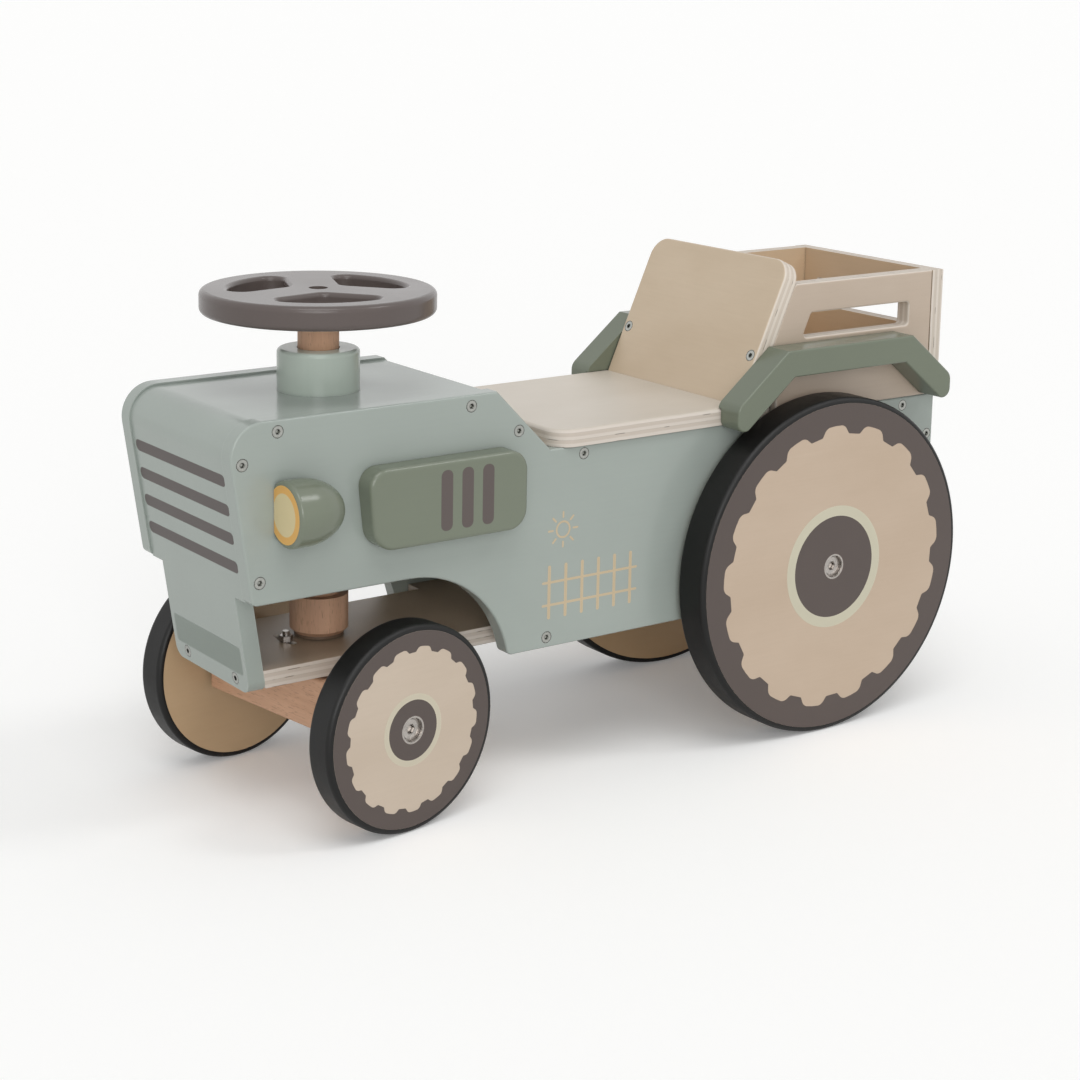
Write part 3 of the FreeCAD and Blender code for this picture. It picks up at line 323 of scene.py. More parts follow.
def plyMaterial(name, centre, grain, through, look, surface=plySurface):
    material, tree, shader = startMaterial(name)
    place, facing = ownCoords(tree, centre, boardTurn(grain, through))
    fibre = streaks(tree, place, *surface["fibre"])
    pores = streaks(tree, place, *surface["pores"])
    veneer = mixColour(tree, streaks(tree, place, *surface["figure"]), look["dark"], look["light"])
    veneer = tinted(tree, veneer, fibre, surface["fibreStain"], look["dark"])
    veneer = tinted(tree, veneer, pores, surface["poreStain"], look["dark"])
    acrossBoard = partOf(tree, facing, "Z")
    if "inner" in look:  # painted light and shade on the inner side: lighter and warmer in the box, darker and warmer on the wheels
        inside = spread(tree, acrossBoard, *surface["innerSpan"], 0.0, 1.0)
        veneer = mixColour(tree, inside, veneer, look["inner"], "MULTIPLY")
    if "shade" in look:  # painted shade under the body, as far in as this reaches
        paintedShade = calc(tree, "MULTIPLY", shadeInGaps(tree, look["shade"]), surface["shadeShare"])
        veneer = mixColour(tree, paintedShade, veneer, shaded(look["dark"], surface["shadeTone"]))
    onEdge = spread(tree, calc(tree, "ABSOLUTE", acrossBoard), *surface["edgeSpan"], 0.0, 1.0)
    colour = mixColour(tree, onEdge, veneer, plyEdge(tree, place, pores, look, surface))
    # painted shade in joints and gaps
    paintedGapShade = calc(tree, "MULTIPLY", shadeInGaps(tree, surface["gapShadeReach"]), surface["gapShadeShare"])
    colour = mixColour(tree, paintedGapShade, colour, shaded(look["dark"], surface["gapShadeTone"]))
    relief = twoReliefs(tree, fibre, surface["fibreRelief"], pores, surface["poreRelief"])
    setShader(tree, shader, Base_Color=colour, Normal=bumpFrom(tree, relief, surface["relief"]),
              Roughness=spread(tree, onEdge, 0.0, 1.0, *surface["roughness"]))
    return material


def plyEdge(tree, place, pores, look, surface):  # layers in turn, glue lines between them and a few splits
    reach = surface["wanderBy"]
    wander = spread(tree, streaks(tree, place, *surface["wander"]), 0.0, 1.0, -reach, reach)
    count = calc(tree, "ADD", calc(tree, "DIVIDE", partOf(tree, place, "Z"), 2 * surface["layer"]), wander)
    layer = calc(tree, "FRACT", calc(tree, "ADD", count, surface["layerStart"]))
    glueLine = shaded(look["crossEdge"], surface["glueTone"])
    edge = colourRamp(tree, layer, [
        (0.01, glueLine),
        (0.05, look["edge"]),
        (0.45, look["edge"]),
        (0.55, look["crossEdge"]),
        (0.97, look["crossEdge"]),
        (1.0, glueLine),
    ])
    edge = tinted(tree, edge, pores, surface["edgeStain"], look["dark"])
    fromMiddle = calc(tree, "ABSOLUTE", calc(tree, "SUBTRACT", layer, 0.5))
    seam = spread(tree, fromMiddle, *surface["seamSpan"], 0.0, 1.0)
    patches = streaks(tree, place, *surface["split"])
    split = spread(tree, patches, *surface["splitSpan"], 0.0, surface["splitShare"])
    torn = calc(tree, "MULTIPLY", seam, split)
    return mixColour(tree, torn, edge, shaded(look["dark"], surface["splitTone"]))


backLean = math.radians(24)
plyBoards = {  # look, way of the grain and outer side
    "seat_board": ("seat", (0, 1, 0), (0, 0, 1)),
    "deck_board": ("box", (0, 1, 0), (0, 0, -1)),
    "shelf_plate": ("shelf", (1, 0, 0), (0, 0, 1)),
    "backrest": ("back", (1, 0, 0), (0, math.cos(backLean), -math.sin(backLean))),
    "box_rear_panel": ("box", (1, 0, 0), (0, 1, 0)),
    "box_side_left": ("box", (0, 1, 0), (1, 0, 0)),
    "box_side_right": ("box", (0, 1, 0), (-1, 0, 0)),
}
wheelAxes = {
    "front_left": Vector((math.cos(steerRest), math.sin(steerRest), 0)),
    "front_right": -Vector((math.cos(steerRest), math.sin(steerRest), 0)),
    "rear_left": Vector((1, 0, 0)),
    "rear_right": Vector((-1, 0, 0)),
}


# Beech: reddish wood with short dark flecks and darker end grain

beechLook = {"light": screenColour(208, 166, 136), "dark": screenColour(187, 145, 114)}
# a lighter copy of the beech: painted light on the retaining collar under the hood
litRingLook = {"light": screenColour(218, 176, 146), "dark": screenColour(198, 155, 126)}
beechPieces = {  # way of the grain, a way across it and look
    "steering_shaft": ((0, 0, 1), (0, 1, 0), beechLook),
    "retaining_collar": ((0, 0, 1), (0, 1, 0), litRingLook),
    "front_axle_beam": (wheelAxes["front_left"], (0, 0, 1), beechLook),
    "rear_axle_block": ((1, 0, 0), (0, 0, 1), beechLook),
}
beechSurface = {
    "bands": (4, 90, 3.0),
    "bandSpan": (0.3, 0.7),
    "fibre": (30, 700),
    "fibreStain": {"span": (0.4, 0.75), "share": 0.35, "tone": 0.80},
    "flecks": (160, 1500, 1.0),
    "fleckStain": {"span": (0.60, 0.70), "share": 0.55, "tone": 0.55},
    "endStain": {"span": (0.6, 0.85), "share": 0.6, "tone": 0.72},
    "roughness": 0.55,
    "relief": 0.00010,
}


def beechMaterial(name, centre, grain, across, look, surface=beechSurface):
    material, tree, shader = startMaterial(name)
    place, facing = ownCoords(tree, centre, boardTurn(grain, across))
    bands = spread(tree, streaks(tree, place, *surface["bands"]), *surface["bandSpan"], 0.0, 1.0)
    fibre = streaks(tree, place, *surface["fibre"])
    flecks = streaks(tree, place, *surface["flecks"])
    colour = mixColour(tree, bands, look["dark"], look["light"])
    colour = tinted(tree, colour, fibre, surface["fibreStain"], look["dark"])
    colour = tinted(tree, colour, flecks, surface["fleckStain"], look["dark"])
    endGrain = calc(tree, "ABSOLUTE", partOf(tree, facing, "X"))
    colour = tinted(tree, colour, endGrain, surface["endStain"], look["dark"])
    setShader(tree, shader, Base_Color=colour, Roughness=surface["roughness"],
              Normal=bumpFrom(tree, fibre, surface["relief"]))
    return material


# Rubber, nylon and zinc

rubberLook = {
    "black": screenColour(6, 6, 6),
    "grey": screenColour(19, 18, 17),
    "scuff": screenColour(44, 43, 41),
    "dust": (60.0, 5.0, 0.65),  # scale, detail and roughness
    "dustSpan": (0.2, 0.8),
    "skin": (1600.0, 2.0),
    "edgeWidth": 0.002,
    "scuffSpan": (0.45, 0.75),
    "scuffShare": 0.5,
    "specular": 0.35,
    "roughness": (0.34, 0.52),
    "relief": 0.00008,
}
nylonLooks = {
    "whiteNylon": {"dark": screenColour(214, 212, 204), "light": screenColour(228, 227, 221)},
    "brownNylon": {"dark": screenColour(96, 78, 62), "light": screenColour(118, 98, 80)},
}
nylonSurface = {"cloud": (120.0, 3.0), "roughness": 0.5, "relief": 0.00005}
zincLooks = {
    "zincBolt": {
        "dull": screenColour(163, 158, 153), "bright": screenColour(207, 201, 196),
        "recess": screenColour(58, 54, 51), "recessReach": 0.0015, "rim": 0.85, "rimShadeWidth": 0.0008,
    },
    "zincCup": {
        "dull": screenColour(163, 158, 153), "bright": screenColour(207, 201, 196),
        "recess": screenColour(150, 143, 138), "recessReach": 0.0015, "rim": 0.5, "rimShadeWidth": 0.0008,
    },
    "zincScrew": {
        "dull": screenColour(150, 152, 147), "bright": screenColour(196, 197, 191),
        "recess": screenColour(54, 54, 51), "recessReach": 0.0018, "rim": 0.95, "rimShadeWidth": 0.0010,
    },
}
zincSurface = {
    "bloom": (340.0, 4.0),
    "bloomSpan": (0.2, 0.8),
    "scratch": (200, 5200, 2.0),
    "roughness": (0.20, 0.38),
    "relief": 0.00004,
}


def rubberMaterial(look=rubberLook):
    material, tree, shader = startMaterial("tyreRubber")
    place = objectPlace(tree)
    dust = clouds(tree, place, *look["dust"])
    skin = clouds(tree, place, *look["skin"])
    patches = spread(tree, dust, *look["scuffSpan"], 0.0, look["scuffShare"])
    scuffed = calc(tree, "MULTIPLY", edgeShare(tree, look["edgeWidth"]), patches)
    colour = mixColour(tree, dust, look["black"], look["grey"])
    setShader(tree, shader, Base_Color=mixColour(tree, scuffed, colour, look["scuff"]),
              Specular_IOR_Level=look["specular"], Normal=bumpFrom(tree, skin, look["relief"]),
              Roughness=spread(tree, dust, *look["dustSpan"], *look["roughness"]))
    return material


def nylonMaterial(name, surface=nylonSurface):
    look = nylonLooks[name]
    material, tree, shader = startMaterial(name)
    cloud = clouds(tree, objectPlace(tree), *surface["cloud"])
    setShader(tree, shader, Base_Color=mixColour(tree, cloud, look["dark"], look["light"]),
              Roughness=surface["roughness"], Normal=bumpFrom(tree, cloud, surface["relief"]))
    return material


def zincMaterial(name, surface=zincSurface):
    look = zincLooks[name]
    material, tree, shader = startMaterial(name)
    place = objectPlace(tree)
    bloom = clouds(tree, place, *surface["bloom"])
    scratch = streaks(tree, place, *surface["scratch"])
    colour = mixColour(tree, bloom, look["dull"], look["bright"])
    # painted shade: a dark outline round each head, and dark in its socket and the hollows round it
    rim = calc(tree, "MULTIPLY", edgeShare(tree, look["rimShadeWidth"]), look["rim"])
    paintedShade = calc(tree, "MAXIMUM", shadeInGaps(tree, look["recessReach"]), rim)
    colour = mixColour(tree, paintedShade, colour, look["recess"])
    setShader(tree, shader, Base_Color=colour, Metallic=1.0,
              Normal=bumpFrom(tree, scratch, surface["relief"]),
              Roughness=spread(tree, bloom, *surface["bloomSpan"], *surface["roughness"]))
    return material


# Finishes on the CAD nodes

def middle(node):
    low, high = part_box(node)
    return (low + high) / 2


def finish(names, material):
    for name in names:
        for slot in nodes[name].material_slots:
            slot.material = material


def bothSides(name):
    return [name + "_" + side for side in sides]


def allWheels(name):
    return [name + "_" + wheel for wheel in wheelAxes]


def axleOf(wheel):  # front or rear
    return wheel.split("_")[0]


sageBoards = bothSides("side_panel") + ["hood_shell", "dashboard_panel", "rear_cross_panel"]
finish(sageBoards, paintFinish["sagePaint"])
finish(["steering_collar"], paintFinish["collarLitSage"])
finish(bothSides("engine_cover") + bothSides("headlight"), paintFinish["olivePaint"])
finish(bothSides("fender"), paintFinish["fenderShadedOlive"])
finish(["steering_wheel"], paintFinish["taupePaint"])
for board, (look, grain, through) in plyBoards.items():
    finish([board], plyMaterial("ply_" + board, middle(board), grain, through, plyLooks[look]))
for wheel, axis in wheelAxes.items():
    disc = "wheel_disc_" + wheel
    look = plyLooks[axleOf(wheel) + "Wheel"]
    finish([disc], plyMaterial("ply_" + wheel, middle(disc), axis.cross((0, 0, 1)), axis, look))
for piece, (grain, across, look) in beechPieces.items():
    finish([piece], beechMaterial("beech_" + piece, middle(piece), grain, across, look))
finish(allWheels("tyre"), rubberMaterial())
finish(allWheels("hub_bush") + ["front_spacers", "rear_spacers"], nylonMaterial("whiteNylon"))
finish(["thrust_washers"], nylonMaterial("brownNylon"))
cupFinish = zincMaterial("zincCup")
finish(allWheels("hub_cup"), cupFinish)
finish(allWheels("wheel_bolt") + ["steering_bolt", "stop_bolt", "stop_nut"], zincMaterial("zincBolt"))
finish(["body_screws", "backrest_screws", "tongue_screws"], zincMaterial("zincScrew"))
print("finishes on all CAD nodes")


# Small helpers for modelling

paintDepth = 0.0001  # half of it stands proud of the wood
near = 0.0002        # a point closer than this to a circle or plane counts as on it


def clearSelection():
    if bpy.context.object and bpy.context.object.mode != "OBJECT":
        bpy.ops.object.mode_set(mode="OBJECT")
    bpy.ops.object.select_all(action="DESELECT")


def selectOnly(piece):
    clearSelection()
    piece.select_set(True)
    bpy.context.view_layer.objects.active = piece


def pick(test, kind="verts"):  # selects the points or edges of the edited mesh that pass the test
    bpy.ops.mesh.select_mode(type={"verts": "VERT", "edges": "EDGE"}[kind])
    bpy.ops.mesh.select_all(action="DESELECT")
    mesh = bmesh.from_edit_mesh(bpy.context.object.data)
    for item in getattr(mesh, kind):
        item.select = test(item)
    mesh.select_flush_mode()
    bmesh.update_edit_mesh(bpy.context.object.data)


def resizeFlat(share):  # makes what is selected wider or narrower about the Z axis
    bpy.ops.transform.resize(value=(share, share, 1), center_override=(0, 0, 0))


def closeUp():  # ends the edit with all faces outwards
    bpy.ops.mesh.select_all(action="SELECT")
    bpy.ops.mesh.normals_make_consistent(inside=False)
    bpy.ops.object.mode_set(mode="OBJECT")


def thicken(depth):  # a flat sheet gets its thickness
    bpy.ops.mesh.select_all(action="SELECT")
    bpy.ops.mesh.extrude_region_move(TRANSFORM_OT_translate={"value": (0, 0, depth)})
    closeUp()


def putInPlace(piece, place, turn):  # the place goes into the mesh, and the object stays at the origin
    selectOnly(piece)
    piece.matrix_world = Matrix.Translation(place) @ turn.to_matrix().to_4x4()
    bpy.ops.object.transform_apply(location=True, rotation=True, scale=True)


def smooth(piece):  # soft shading that leaves flat faces flat
    selectOnly(piece)
    bpy.ops.object.shade_smooth()
    modifier = piece.modifiers.new("flatFaces", "WEIGHTED_NORMAL")
    modifier.keep_sharp = True
    bpy.ops.object.modifier_apply(modifier=modifier.name)


def copyOf(piece, name):
    twin = piece.copy()
    twin.data = piece.data.copy()
    twin.name = name
    bpy.context.collection.objects.link(twin)
    return twin


def dress(piece, material, body):
    piece.data.materials.clear()
    piece.data.materials.append(material)
    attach(piece, body)


def outwards(axis):  # turns a sheet drawn flat so that it faces along the axis and stands upright
    alongZ = Vector(axis).normalized()
    alongX = Vector((0, 0, 1)).cross(alongZ).normalized()
    return Matrix((alongX, alongZ.cross(alongX), alongZ)).transposed().to_quaternion()


def faceX(node, sign):  # where the node ends on this side
    low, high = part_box(node)
    return high.x if sign > 0 else low.x


# Painted wheels: a toothed rim, a hub disc and a pale ring round it

wheelPaint = {
    "teeth": 17,
    "steps": 40,        # points of the drawn circle from tooth to tooth
    "shoulder": 9,      # points from the middle of a lobe of bare wood to its shoulder
    "notch": 14,        # and to the corner of the painted notch
    "roundSteps": 6,
    "notchRound": 0.2,  # of a shoulder's rounding
    "notchSteps": 3,
    "discSteps": 180,
    "ringShare": 1.20,  # of the hub disc's radius
    "ringRoughness": 0.45,
    "cupRadius": 0.0094,
}
wheelSizes = {
    "front": {
        "disc": 0.0659, "width": 0.0215, "hub": 0.0203, "lobe": 0.0557, "notch": 0.0524, "round": 0.0018,
        "turn": 9.7, "ring": screenColour(196, 188, 168),
    },
    "rear": {
        "disc": 0.1209, "width": 0.027, "hub": 0.0379, "lobe": 0.1052, "notch": 0.0988, "round": 0.0034,
        "turn": -2.1, "ring": screenColour(194, 189, 168),
    },
}


def wheelFace(wheel):  # the middle of a wheel's outer face
    return middle("wheel_disc_" + wheel) + wheelAxes[wheel] * wheelSizes[axleOf(wheel)]["width"] / 2


def toothedRim(size, look=wheelPaint):
    clearSelection()
    points = look["teeth"] * look["steps"]
    bpy.ops.mesh.primitive_circle_add(vertices=points, radius=size["lobe"], fill_type="NGON")
    piece = bpy.context.object
    bpy.ops.object.mode_set(mode="EDIT")

    def fromLobe(vert):  # points from the middle of the nearest lobe, counted from the top
        turned = math.atan2(vert.co.x, vert.co.y) / (2 * math.pi)
        point = round(turned * points) % look["steps"]
        return min(point, look["steps"] - point)
    pick(lambda vert: fromLobe(vert) not in (0, look["shoulder"], look["notch"]))
    bpy.ops.mesh.dissolve_verts()
    pick(lambda vert: fromLobe(vert) == look["notch"])
    resizeFlat(size["notch"] / size["lobe"])
    pick(lambda vert: fromLobe(vert) == look["shoulder"])
    bpy.ops.mesh.bevel(affect="VERTICES", offset=size["round"], segments=look["roundSteps"])
    pick(lambda vert: vert.co.length < size["notch"] + near)
    corner = size["round"] * look["notchRound"]
    bpy.ops.mesh.bevel(affect="VERTICES", offset=corner, segments=look["notchSteps"])
    bpy.ops.mesh.select_all(action="SELECT")
    bpy.ops.mesh.delete(type="ONLY_FACE")
    bpy.ops.mesh.primitive_circle_add(vertices=look["discSteps"], radius=size["disc"])
    bpy.ops.mesh.select_all(action="SELECT")
    bpy.ops.mesh.fill()
    thicken(paintDepth)
    return piece


def flatRing(inner, outer, depth=paintDepth, steps=128):
    clearSelection()
    bpy.ops.mesh.primitive_circle_add(vertices=steps, radius=outer)
    piece = bpy.context.object
    bpy.ops.object.mode_set(mode="EDIT")
    bpy.ops.mesh.extrude_edges_move()
    resizeFlat(inner / outer)
    thicken(depth)
    return piece


def paintWheels(axle, size, look=wheelPaint):
    pale = {**thinPaint, "colour": size["ring"], "roughness": look["ringRoughness"]}
    palePaint = paintMaterial(axle + "RingPaint", pale)
    pieces = {
        "rim_paint": (toothedRim(size), paintFinish["darkTaupe"], "taupe_paint"),
        "hub_paint": (flatRing(look["cupRadius"], size["hub"]), paintFinish["darkTaupe"], "taupe_paint"),
        "hub_ring": (flatRing(size["hub"], size["hub"] * look["ringShare"]), palePaint, "wheel_ply"),
    }
    for side in sides:
        wheel = axle + "_" + side
        axis = wheelAxes[wheel]
        turn = outwards(axis) @ Quaternion((0, 0, -1), math.radians(size["turn"]))
        for name, (piece, material, slot) in pieces.items():
            twin = copyOf(piece, name + "_" + wheel)
            putInPlace(twin, wheelFace(wheel) - axis * paintDepth / 2, turn)
            dress(twin, material, wheel + "_wheel")
    for drawn in pieces.values():
        bpy.data.objects.remove(drawn[0])


for axle, size in wheelSizes.items():
    paintWheels(axle, size)
print("wheels painted")


# A thin steel washer fills the gap between each bolt head and its cup

boltWasher = {
    "inner": 0.0069,
    "outer": 0.0080,
    "thick": 0.0006,
    "under": 0.0037,  # of its lower side below the face of the wheel
}


def boltWashers(look=boltWasher):
    washer = flatRing(look["inner"], look["outer"], look["thick"])
    for wheel, axis in wheelAxes.items():
        twin = copyOf(washer, "bolt_washer_" + wheel)
        putInPlace(twin, wheelFace(wheel) - axis * look["under"], outwards(axis))
        dress(twin, cupFinish, wheel + "_wheel")
    bpy.data.objects.remove(washer)


boltWashers()
print("washers in the hub cups")


# Engine covers with a leaning front edge and fuller headlights, in place of their plainer nodes

sunk = 0.0002  # how far these pieces reach into the side panels
coverBody = {
    "drop": 0.004,     # of the top below the node's
    "lean": 0.006,     # of the lower front corner behind the upper one
    "ahead": 0.0005,   # of the node's front
    "behind": 0.0015,  # of the node's rear
    "corner": 0.014,
    "cornerSteps": 10,
    "edge": 0.003,
    "edgeSteps": 5,
}
lampBody = {
    "offset": 0.0129,  # from the side panel to the lamp's middle
    "rise": 0.0026,    # above the node's middle
    "radius": 0.0215,
    "edge": 0.0028,
    "edgeSteps": 6,
    "length": 0.041,
    "dome": 0.029,
    "domeSteps": 20,
    "roundSteps": 96,
}


def leftCover(look=coverBody):
    low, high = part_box("engine_cover_left")
    first = Vector((low.x - sunk, low.y - look["ahead"], low.z))
    last = Vector((high.x, high.y + look["behind"], high.z - look["drop"]))
    centre = (first + last) / 2
    clearSelection()
    bpy.ops.mesh.primitive_cube_add(size=1)
    piece = bpy.context.object
    bpy.ops.object.mode_set(mode="EDIT")
    bpy.ops.transform.resize(value=last - first, center_override=(0, 0, 0))
    bpy.ops.transform.translate(value=centre)
    pick(lambda vert: vert.co.y < centre.y and vert.co.z < centre.z)
    bpy.ops.transform.translate(value=(0, look["lean"], 0))
    pick(lambda edge: abs(edge.verts[0].co.x - edge.verts[1].co.x) > near, "edges")
    bpy.ops.mesh.bevel(affect="EDGES", offset=look["corner"], segments=look["cornerSteps"])
    pick(lambda edge: all(vert.co.x > last.x - near for vert in edge.verts), "edges")
    bpy.ops.mesh.bevel(affect="EDGES", offset=look["edge"], segments=look["edgeSteps"])
    pick(lambda edge: all(vert.co.x < first.x + near for vert in edge.verts), "edges")
    bpy.ops.mesh.mark_sharp()
    closeUp()
    return piece


def coverBodies():
    cover = leftCover()
    for side, sign in sides.items():
        piece = copyOf(cover, "cover_body_" + side)
        selectOnly(piece)
        bpy.ops.object.mode_set(mode="EDIT")
        bpy.ops.mesh.select_all(action="SELECT")
        bpy.ops.transform.resize(value=(sign, 1, 1), center_override=(0, 0, 0))
        closeUp()
        smooth(piece)
        dress(piece, paintFinish["olivePaint"], "chassis")
        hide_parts("engine_cover_" + side)
    bpy.data.objects.remove(cover)


def lampRings(look):  # how far behind the front face each ring lies, and its radius
    for step in range(1, look["edgeSteps"] + 1):
        angle = math.pi / 2 * step / look["edgeSteps"]
        yield look["edge"] * (1 - math.cos(angle)), look["radius"] - look["edge"] * (1 - math.sin(angle))
    for step in range(look["domeSteps"]):
        angle = math.pi / 2 * step / look["domeSteps"]
        yield look["length"] - look["dome"] * (1 - math.sin(angle)), look["radius"] * math.cos(angle)


def leftLamp(look=lampBody):
    clearSelection()
    reach, radius = 0, look["radius"] - look["edge"]
    bpy.ops.mesh.primitive_circle_add(vertices=look["roundSteps"], radius=radius, fill_type="NGON")
    piece = bpy.context.object
    bpy.ops.object.mode_set(mode="EDIT")
    bpy.ops.mesh.select_all(action="SELECT")
    for newReach, newRadius in lampRings(look):
        bpy.ops.mesh.extrude_region_move(TRANSFORM_OT_translate={"value": (0, 0, reach - newReach)})
        resizeFlat(newRadius / radius)
        reach, radius = newReach, newRadius
    bpy.ops.mesh.extrude_region_move(TRANSFORM_OT_translate={"value": (0, 0, reach - look["length"])})
    bpy.ops.mesh.merge(type="CENTER")
    seat = -look["offset"] - sunk
    bpy.ops.mesh.select_all(action="SELECT")
    bpy.ops.mesh.bisect(plane_co=(seat, 0, 0), plane_no=(1, 0, 0), clear_inner=True, use_fill=True)
    pick(lambda edge: all(abs(vert.co.x - seat) < near for vert in edge.verts), "edges")
    bpy.ops.mesh.mark_sharp()
    closeUp()
    return piece


def lampPlace(side, look=lampBody):  # the middle of a lamp's front face, and the turn of what is drawn for it
    sign = sides[side]
    node = "headlight_" + side
    turn = outwards((0, -1, 0))
    if sign < 0:
        turn = Quaternion((0, 1, 0), math.pi) @ turn
    across = faceX(node, -sign) + sign * look["offset"]
    return Vector((across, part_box(node)[0].y, middle(node).z + look["rise"])), turn


def lampBodies():
    lamp = leftLamp()
    for side in sides:
        piece = copyOf(lamp, "lamp_body_" + side)
        putInPlace(piece, *lampPlace(side))
        smooth(piece)
        dress(piece, paintFinish["olivePaint"], "chassis")
        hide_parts("headlight_" + side)
    bpy.data.objects.remove(lamp)


coverBodies()
lampBodies()
print("engine covers and headlights shaped")


# Painted bars and a plain plate on the front board, and slots on the engine covers

frontLean = math.radians(8.7)
frontFoot = -0.26384  # where the front face would meet the floor
frontBars = {
    "heights": (0.2409, 0.2217, 0.2030, 0.1840),
    "length": 0.1228,
    "height": 0.0080,
    "round": 0.0038,
}
frontPlate = {
    "rise": 0.1165,
    "length": 0.091,
    "height": 0.0195,
    "round": 0.0025,
    "colour": screenColour(124, 134, 126),
}
coverSlots = {
    "count": 3,
    "first": -0.0022,  # from the middle of the cover towards the rear
    "step": 0.0162,
    "drop": 0.00125,
    "width": 0.009,
    "length": 0.0405,
}
endRound = 0.45  # rounding at the ends of a slot or a drawn line, as a share of its width
barSteps = 6


def roundedBar(length, height, corner):
    clearSelection()
    bpy.ops.mesh.primitive_plane_add(size=1)
    piece = bpy.context.object
    bpy.ops.object.mode_set(mode="EDIT")
    bpy.ops.transform.resize(value=(length, height, 1), center_override=(0, 0, 0))
    bpy.ops.mesh.bevel(affect="VERTICES", offset=corner, segments=barSteps)
    thicken(paintDepth)
    return piece


def onFront(height):  # the place on the front board at a height, and the way it faces
    facing = Vector((0, -math.cos(frontLean), -math.sin(frontLean)))
    place = Vector((0, frontFoot - height * math.tan(frontLean), height))
    return place - facing * paintDepth / 2, outwards(facing)


def frontBarSet(look=frontBars):
    bar = roundedBar(look["length"], look["height"], look["round"])
    for number, height in enumerate(look["heights"], start=1):
        twin = copyOf(bar, f"front_bar_{number}")
        putInPlace(twin, *onFront(height))
        dress(twin, paintFinish["barPaint"], "chassis")
    bpy.data.objects.remove(bar)


def frontPlatePaint(look=frontPlate):
    plate = roundedBar(look["length"], look["height"], look["round"])
    plate.name = "front_plate"
    putInPlace(plate, *onFront(look["rise"]))
    platePaint = paintMaterial("platePaint", {**thinPaint, "colour": look["colour"], "grain": (1, 0, 0)})
    dress(plate, platePaint, "chassis")


def coverSlotSet(look=coverSlots):
    bar = roundedBar(look["width"], look["length"], look["width"] * endRound)
    for side, sign in sides.items():
        facing = Vector((sign, 0, 0))
        node = "engine_cover_" + side
        centre = middle(node)
        face = Vector((faceX(node, sign), centre.y + look["first"], centre.z - look["drop"]))
        for number in range(look["count"]):
            twin = copyOf(bar, f"cover_slot_{side}_{number + 1}")
            along = Vector((0, number * look["step"], 0))
            putInPlace(twin, face + along - facing * paintDepth / 2, outwards(facing))
            dress(twin, paintFinish["taupePaint"], "chassis")
    bpy.data.objects.remove(bar)


frontBarSet()
frontPlatePaint()
coverSlotSet()
print("front bars, plate and cover slots painted")


# Painted lamp faces: an ochre rim round a cream middle

lampFace = {
    "radius": 0.0186,
    "cut": -0.0128,  # where the side panel cuts the round
    "rim": 0.0049,
    "steps": 96,
    "ochre": screenColour(216, 168, 93),
    "cream": screenColour(209, 194, 151),
}


def lampPaint(look=lampFace):
    clearSelection()
    bpy.ops.mesh.primitive_circle_add(vertices=look["steps"], radius=look["radius"], fill_type="NGON")
    piece = bpy.context.object
    for colour in ("ochre", "cream"):
        piece.data.materials.append(paintMaterial(colour + "Paint", {**thinPaint, "colour": look[colour]}))
    bpy.ops.object.mode_set(mode="EDIT")
    bpy.ops.mesh.select_all(action="SELECT")
    bpy.ops.mesh.inset(thickness=look["rim"])
    piece.active_material_index = 1  # cream
    bpy.ops.object.material_slot_assign()
    bpy.ops.mesh.select_all(action="SELECT")
    bpy.ops.mesh.bisect(plane_co=(look["cut"], 0, 0), plane_no=(1, 0, 0), clear_inner=True, use_fill=False)
    thicken(paintDepth)
    for side in sides:
        twin = copyOf(piece, "lamp_face_" + side)
        centre, turn = lampPlace(side)
        putInPlace(twin, centre + Vector((0, paintDepth / 2, 0)), turn)
        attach(twin, "chassis")
    bpy.data.objects.remove(piece)


lampPaint()
print("lamp faces painted")


# A line picture on both side panels: a fence under a small sun

sidePicture = {
    "middle": -0.026,  # along the panel
    "foot": 0.116,
    "pickets": 6,
    "step": 0.0140,
    "picketWidth": 0.0025,
    "picketHeight": 0.038,
    "rails": (0.010, 0.026),
    "railLength": 0.082,
    "railHeight": 0.0018,
    "railLift": -paintDepth / 4,  # keeps the rails out of the plane of the pickets
    "sun": (-0.024, 0.062),
    "sunInner": 0.0048,
    "sunOuter": 0.0062,
    "rays": 8,
    "rayReach": 0.0104,
    "rayLength": 0.0048,
    "rayWidth": 0.0014,
    "colour": screenColour(189, 171, 141),
}


def drawBar(length, height, place, angle=0.0):  # a bar of paint in a picture that lies flat
    bar = roundedBar(length, height, min(length, height) * endRound)
    putInPlace(bar, Vector(place), Quaternion((0, 0, 1), angle))
    return bar


def drawSun(look):
    across, up = look["sun"]
    ring = flatRing(look["sunInner"], look["sunOuter"])
    putInPlace(ring, Vector((across, up, 0)), Quaternion())
    parts = [ring]
    for number in range(look["rays"]):
        angle = 2 * math.pi * number / look["rays"]
        place = (across + look["rayReach"] * math.cos(angle), up + look["rayReach"] * math.sin(angle), 0)
        parts.append(drawBar(look["rayLength"], look["rayWidth"], place, angle))
    return parts


def drawFence(look):
    parts = []
    for number in range(look["pickets"]):
        across = (number - (look["pickets"] - 1) / 2) * look["step"]
        place = (across, look["picketHeight"] / 2, 0)
        parts.append(drawBar(look["picketWidth"], look["picketHeight"], place))
    for rise in look["rails"]:
        parts.append(drawBar(look["railLength"], look["railHeight"], (0, rise, look["railLift"])))
    return parts


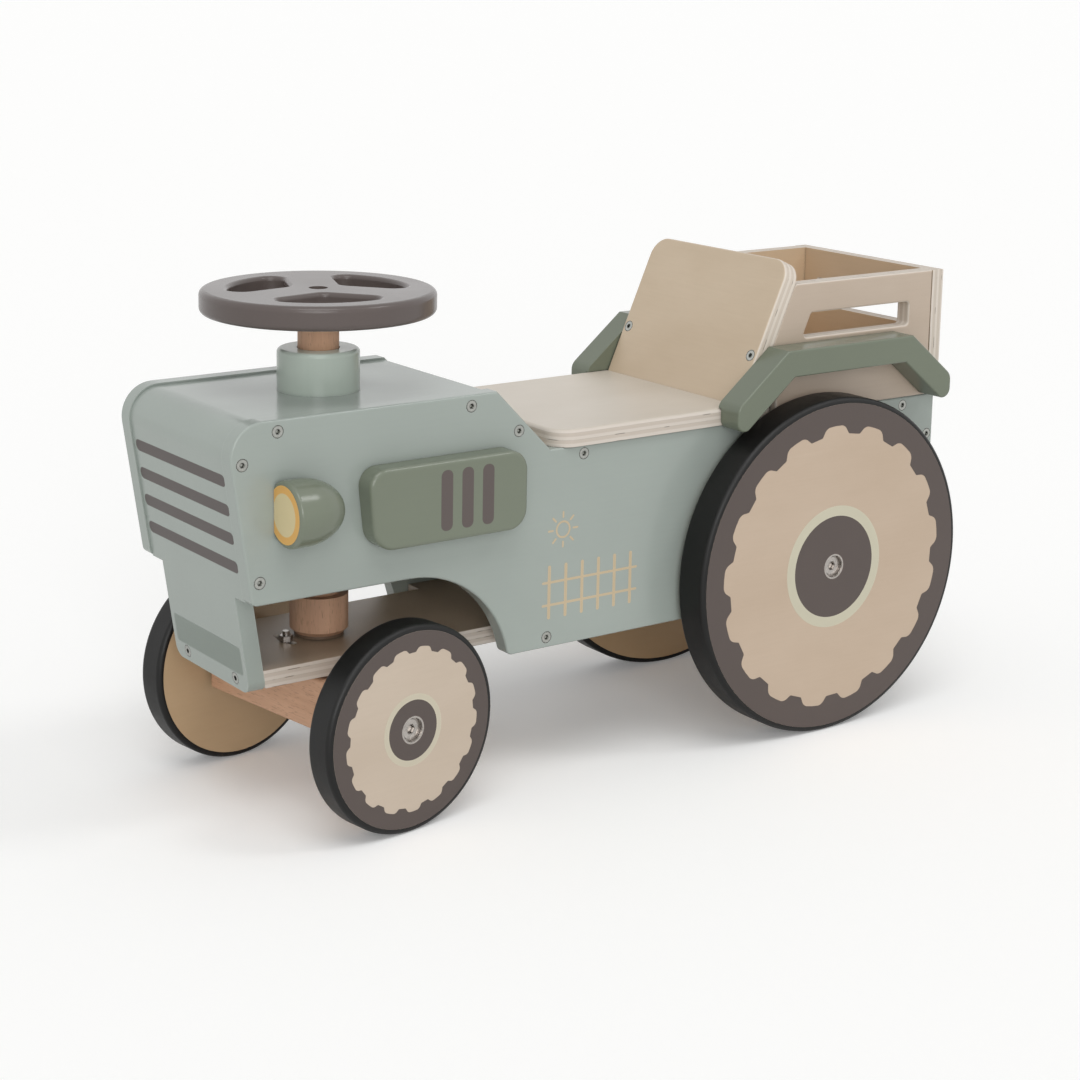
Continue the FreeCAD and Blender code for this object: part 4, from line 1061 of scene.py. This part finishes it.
def sidePicturePaint(look=sidePicture):
    parts = drawSun(look) + drawFence(look)
    selectOnly(parts[0])
    for part in parts:
        part.select_set(True)
    bpy.ops.object.join()
    picture = bpy.context.object
    linePaint = paintMaterial("linePaint", {**thinPaint, "colour": look["colour"]})
    for side, sign in sides.items():
        facing = Vector((sign, 0, 0))
        face = Vector((faceX("side_panel_" + side, sign), look["middle"], look["foot"]))
        twin = copyOf(picture, "side_picture_" + side)
        putInPlace(twin, face - facing * paintDepth / 2, outwards(facing))
        dress(twin, linePaint, "chassis")
    bpy.data.objects.remove(picture)


sidePicturePaint()
print("side pictures painted")


# Stage: pale floor, soft light from all round, a high key, a low fill and a small lamp behind,
# and the photograph's camera

studio = {
    "sky": 0.50,
    "floor": screenColour(250, 250, 249),
    "floorSize": 60,
    "floorRoughness": 0.9,
    "floorSpecular": 0.1,
    "glow": 0.11,  # lifts the floor to white where the camera sees it
    "white": (1, 1, 1, 1),
}
suns = {
    "key_light": {"strength": 0.85, "angle": 36, "from": Vector((0.46, -0.28, 1.15))},
    "fill_light": {"strength": 0.86, "angle": 32, "from": Vector((0.85, -0.50, 0.34))},
    "gleam_light": {"strength": 0.30, "angle": 14, "from": Vector((0.42, 0.50, 0.76))},
}
view = {
    "place": (1.2635, -0.9435, 0.580),
    "turn": 55.03,
    "down": 11.48,
    "roll": 0.76,
    "sensor": 36,
    "lens": 75.315,
    "shift": (0.0470, -0.1449),
}


def buildFloor(look=studio):
    clearSelection()
    bpy.ops.mesh.primitive_plane_add(size=look["floorSize"])
    floor = bpy.context.object
    floor.name = "studio_floor"
    material, tree, shader = startMaterial("studioFloor")
    seen = addNode(tree, "LightPath", {}).outputs["Is Camera Ray"]
    setShader(tree, shader, Base_Color=look["floor"], Roughness=look["floorRoughness"],
              Specular_IOR_Level=look["floorSpecular"], Emission_Color=look["white"],
              Emission_Strength=calc(tree, "MULTIPLY", seen, look["glow"]))
    floor.data.materials.append(material)


def buildSky(look=studio):
    world = bpy.data.worlds.new("studioSky")
    bpy.context.scene.world = world
    world.use_nodes = True
    tree = world.node_tree
    seen = addNode(tree, "LightPath", {}).outputs
    direct = calc(tree, "MAXIMUM", seen["Is Camera Ray"], seen["Is Glossy Ray"])
    direct = calc(tree, "MAXIMUM", direct, seen["Is Transmission Ray"])
    background = tree.nodes["Background"]
    background.inputs["Color"].default_value = look["white"]
    tree.links.new(spread(tree, direct, 0.0, 1.0, look["sky"], 1.0), background.inputs["Strength"])


def addSun(name, look):
    clearSelection()
    bpy.ops.object.light_add(type="SUN", location=look["from"])
    lamp = bpy.context.object
    lamp.name = name
    lamp.rotation_euler = look["from"].to_track_quat("Z", "Y").to_euler()
    lamp.data.energy = look["strength"]
    lamp.data.angle = math.radians(look["angle"])


def addCamera(look=view):
    clearSelection()
    bpy.ops.object.camera_add()
    camera = bpy.context.object
    turn = Matrix.Rotation(math.radians(look["turn"]), 4, "Z")
    tilt = Matrix.Rotation(math.radians(90 - look["down"]), 4, "X")
    roll = Matrix.Rotation(math.radians(look["roll"]), 4, "Z")
    camera.matrix_world = Matrix.Translation(look["place"]) @ turn @ tilt @ roll
    camera.data.sensor_width = look["sensor"]
    camera.data.lens = look["lens"]
    camera.data.shift_x, camera.data.shift_y = look["shift"]
    bpy.context.scene.camera = camera


buildFloor()
buildSky()
for name, look in suns.items():
    addSun(name, look)
addCamera()
bpy.context.scene.view_settings.view_transform = "Standard"
print("stage set")
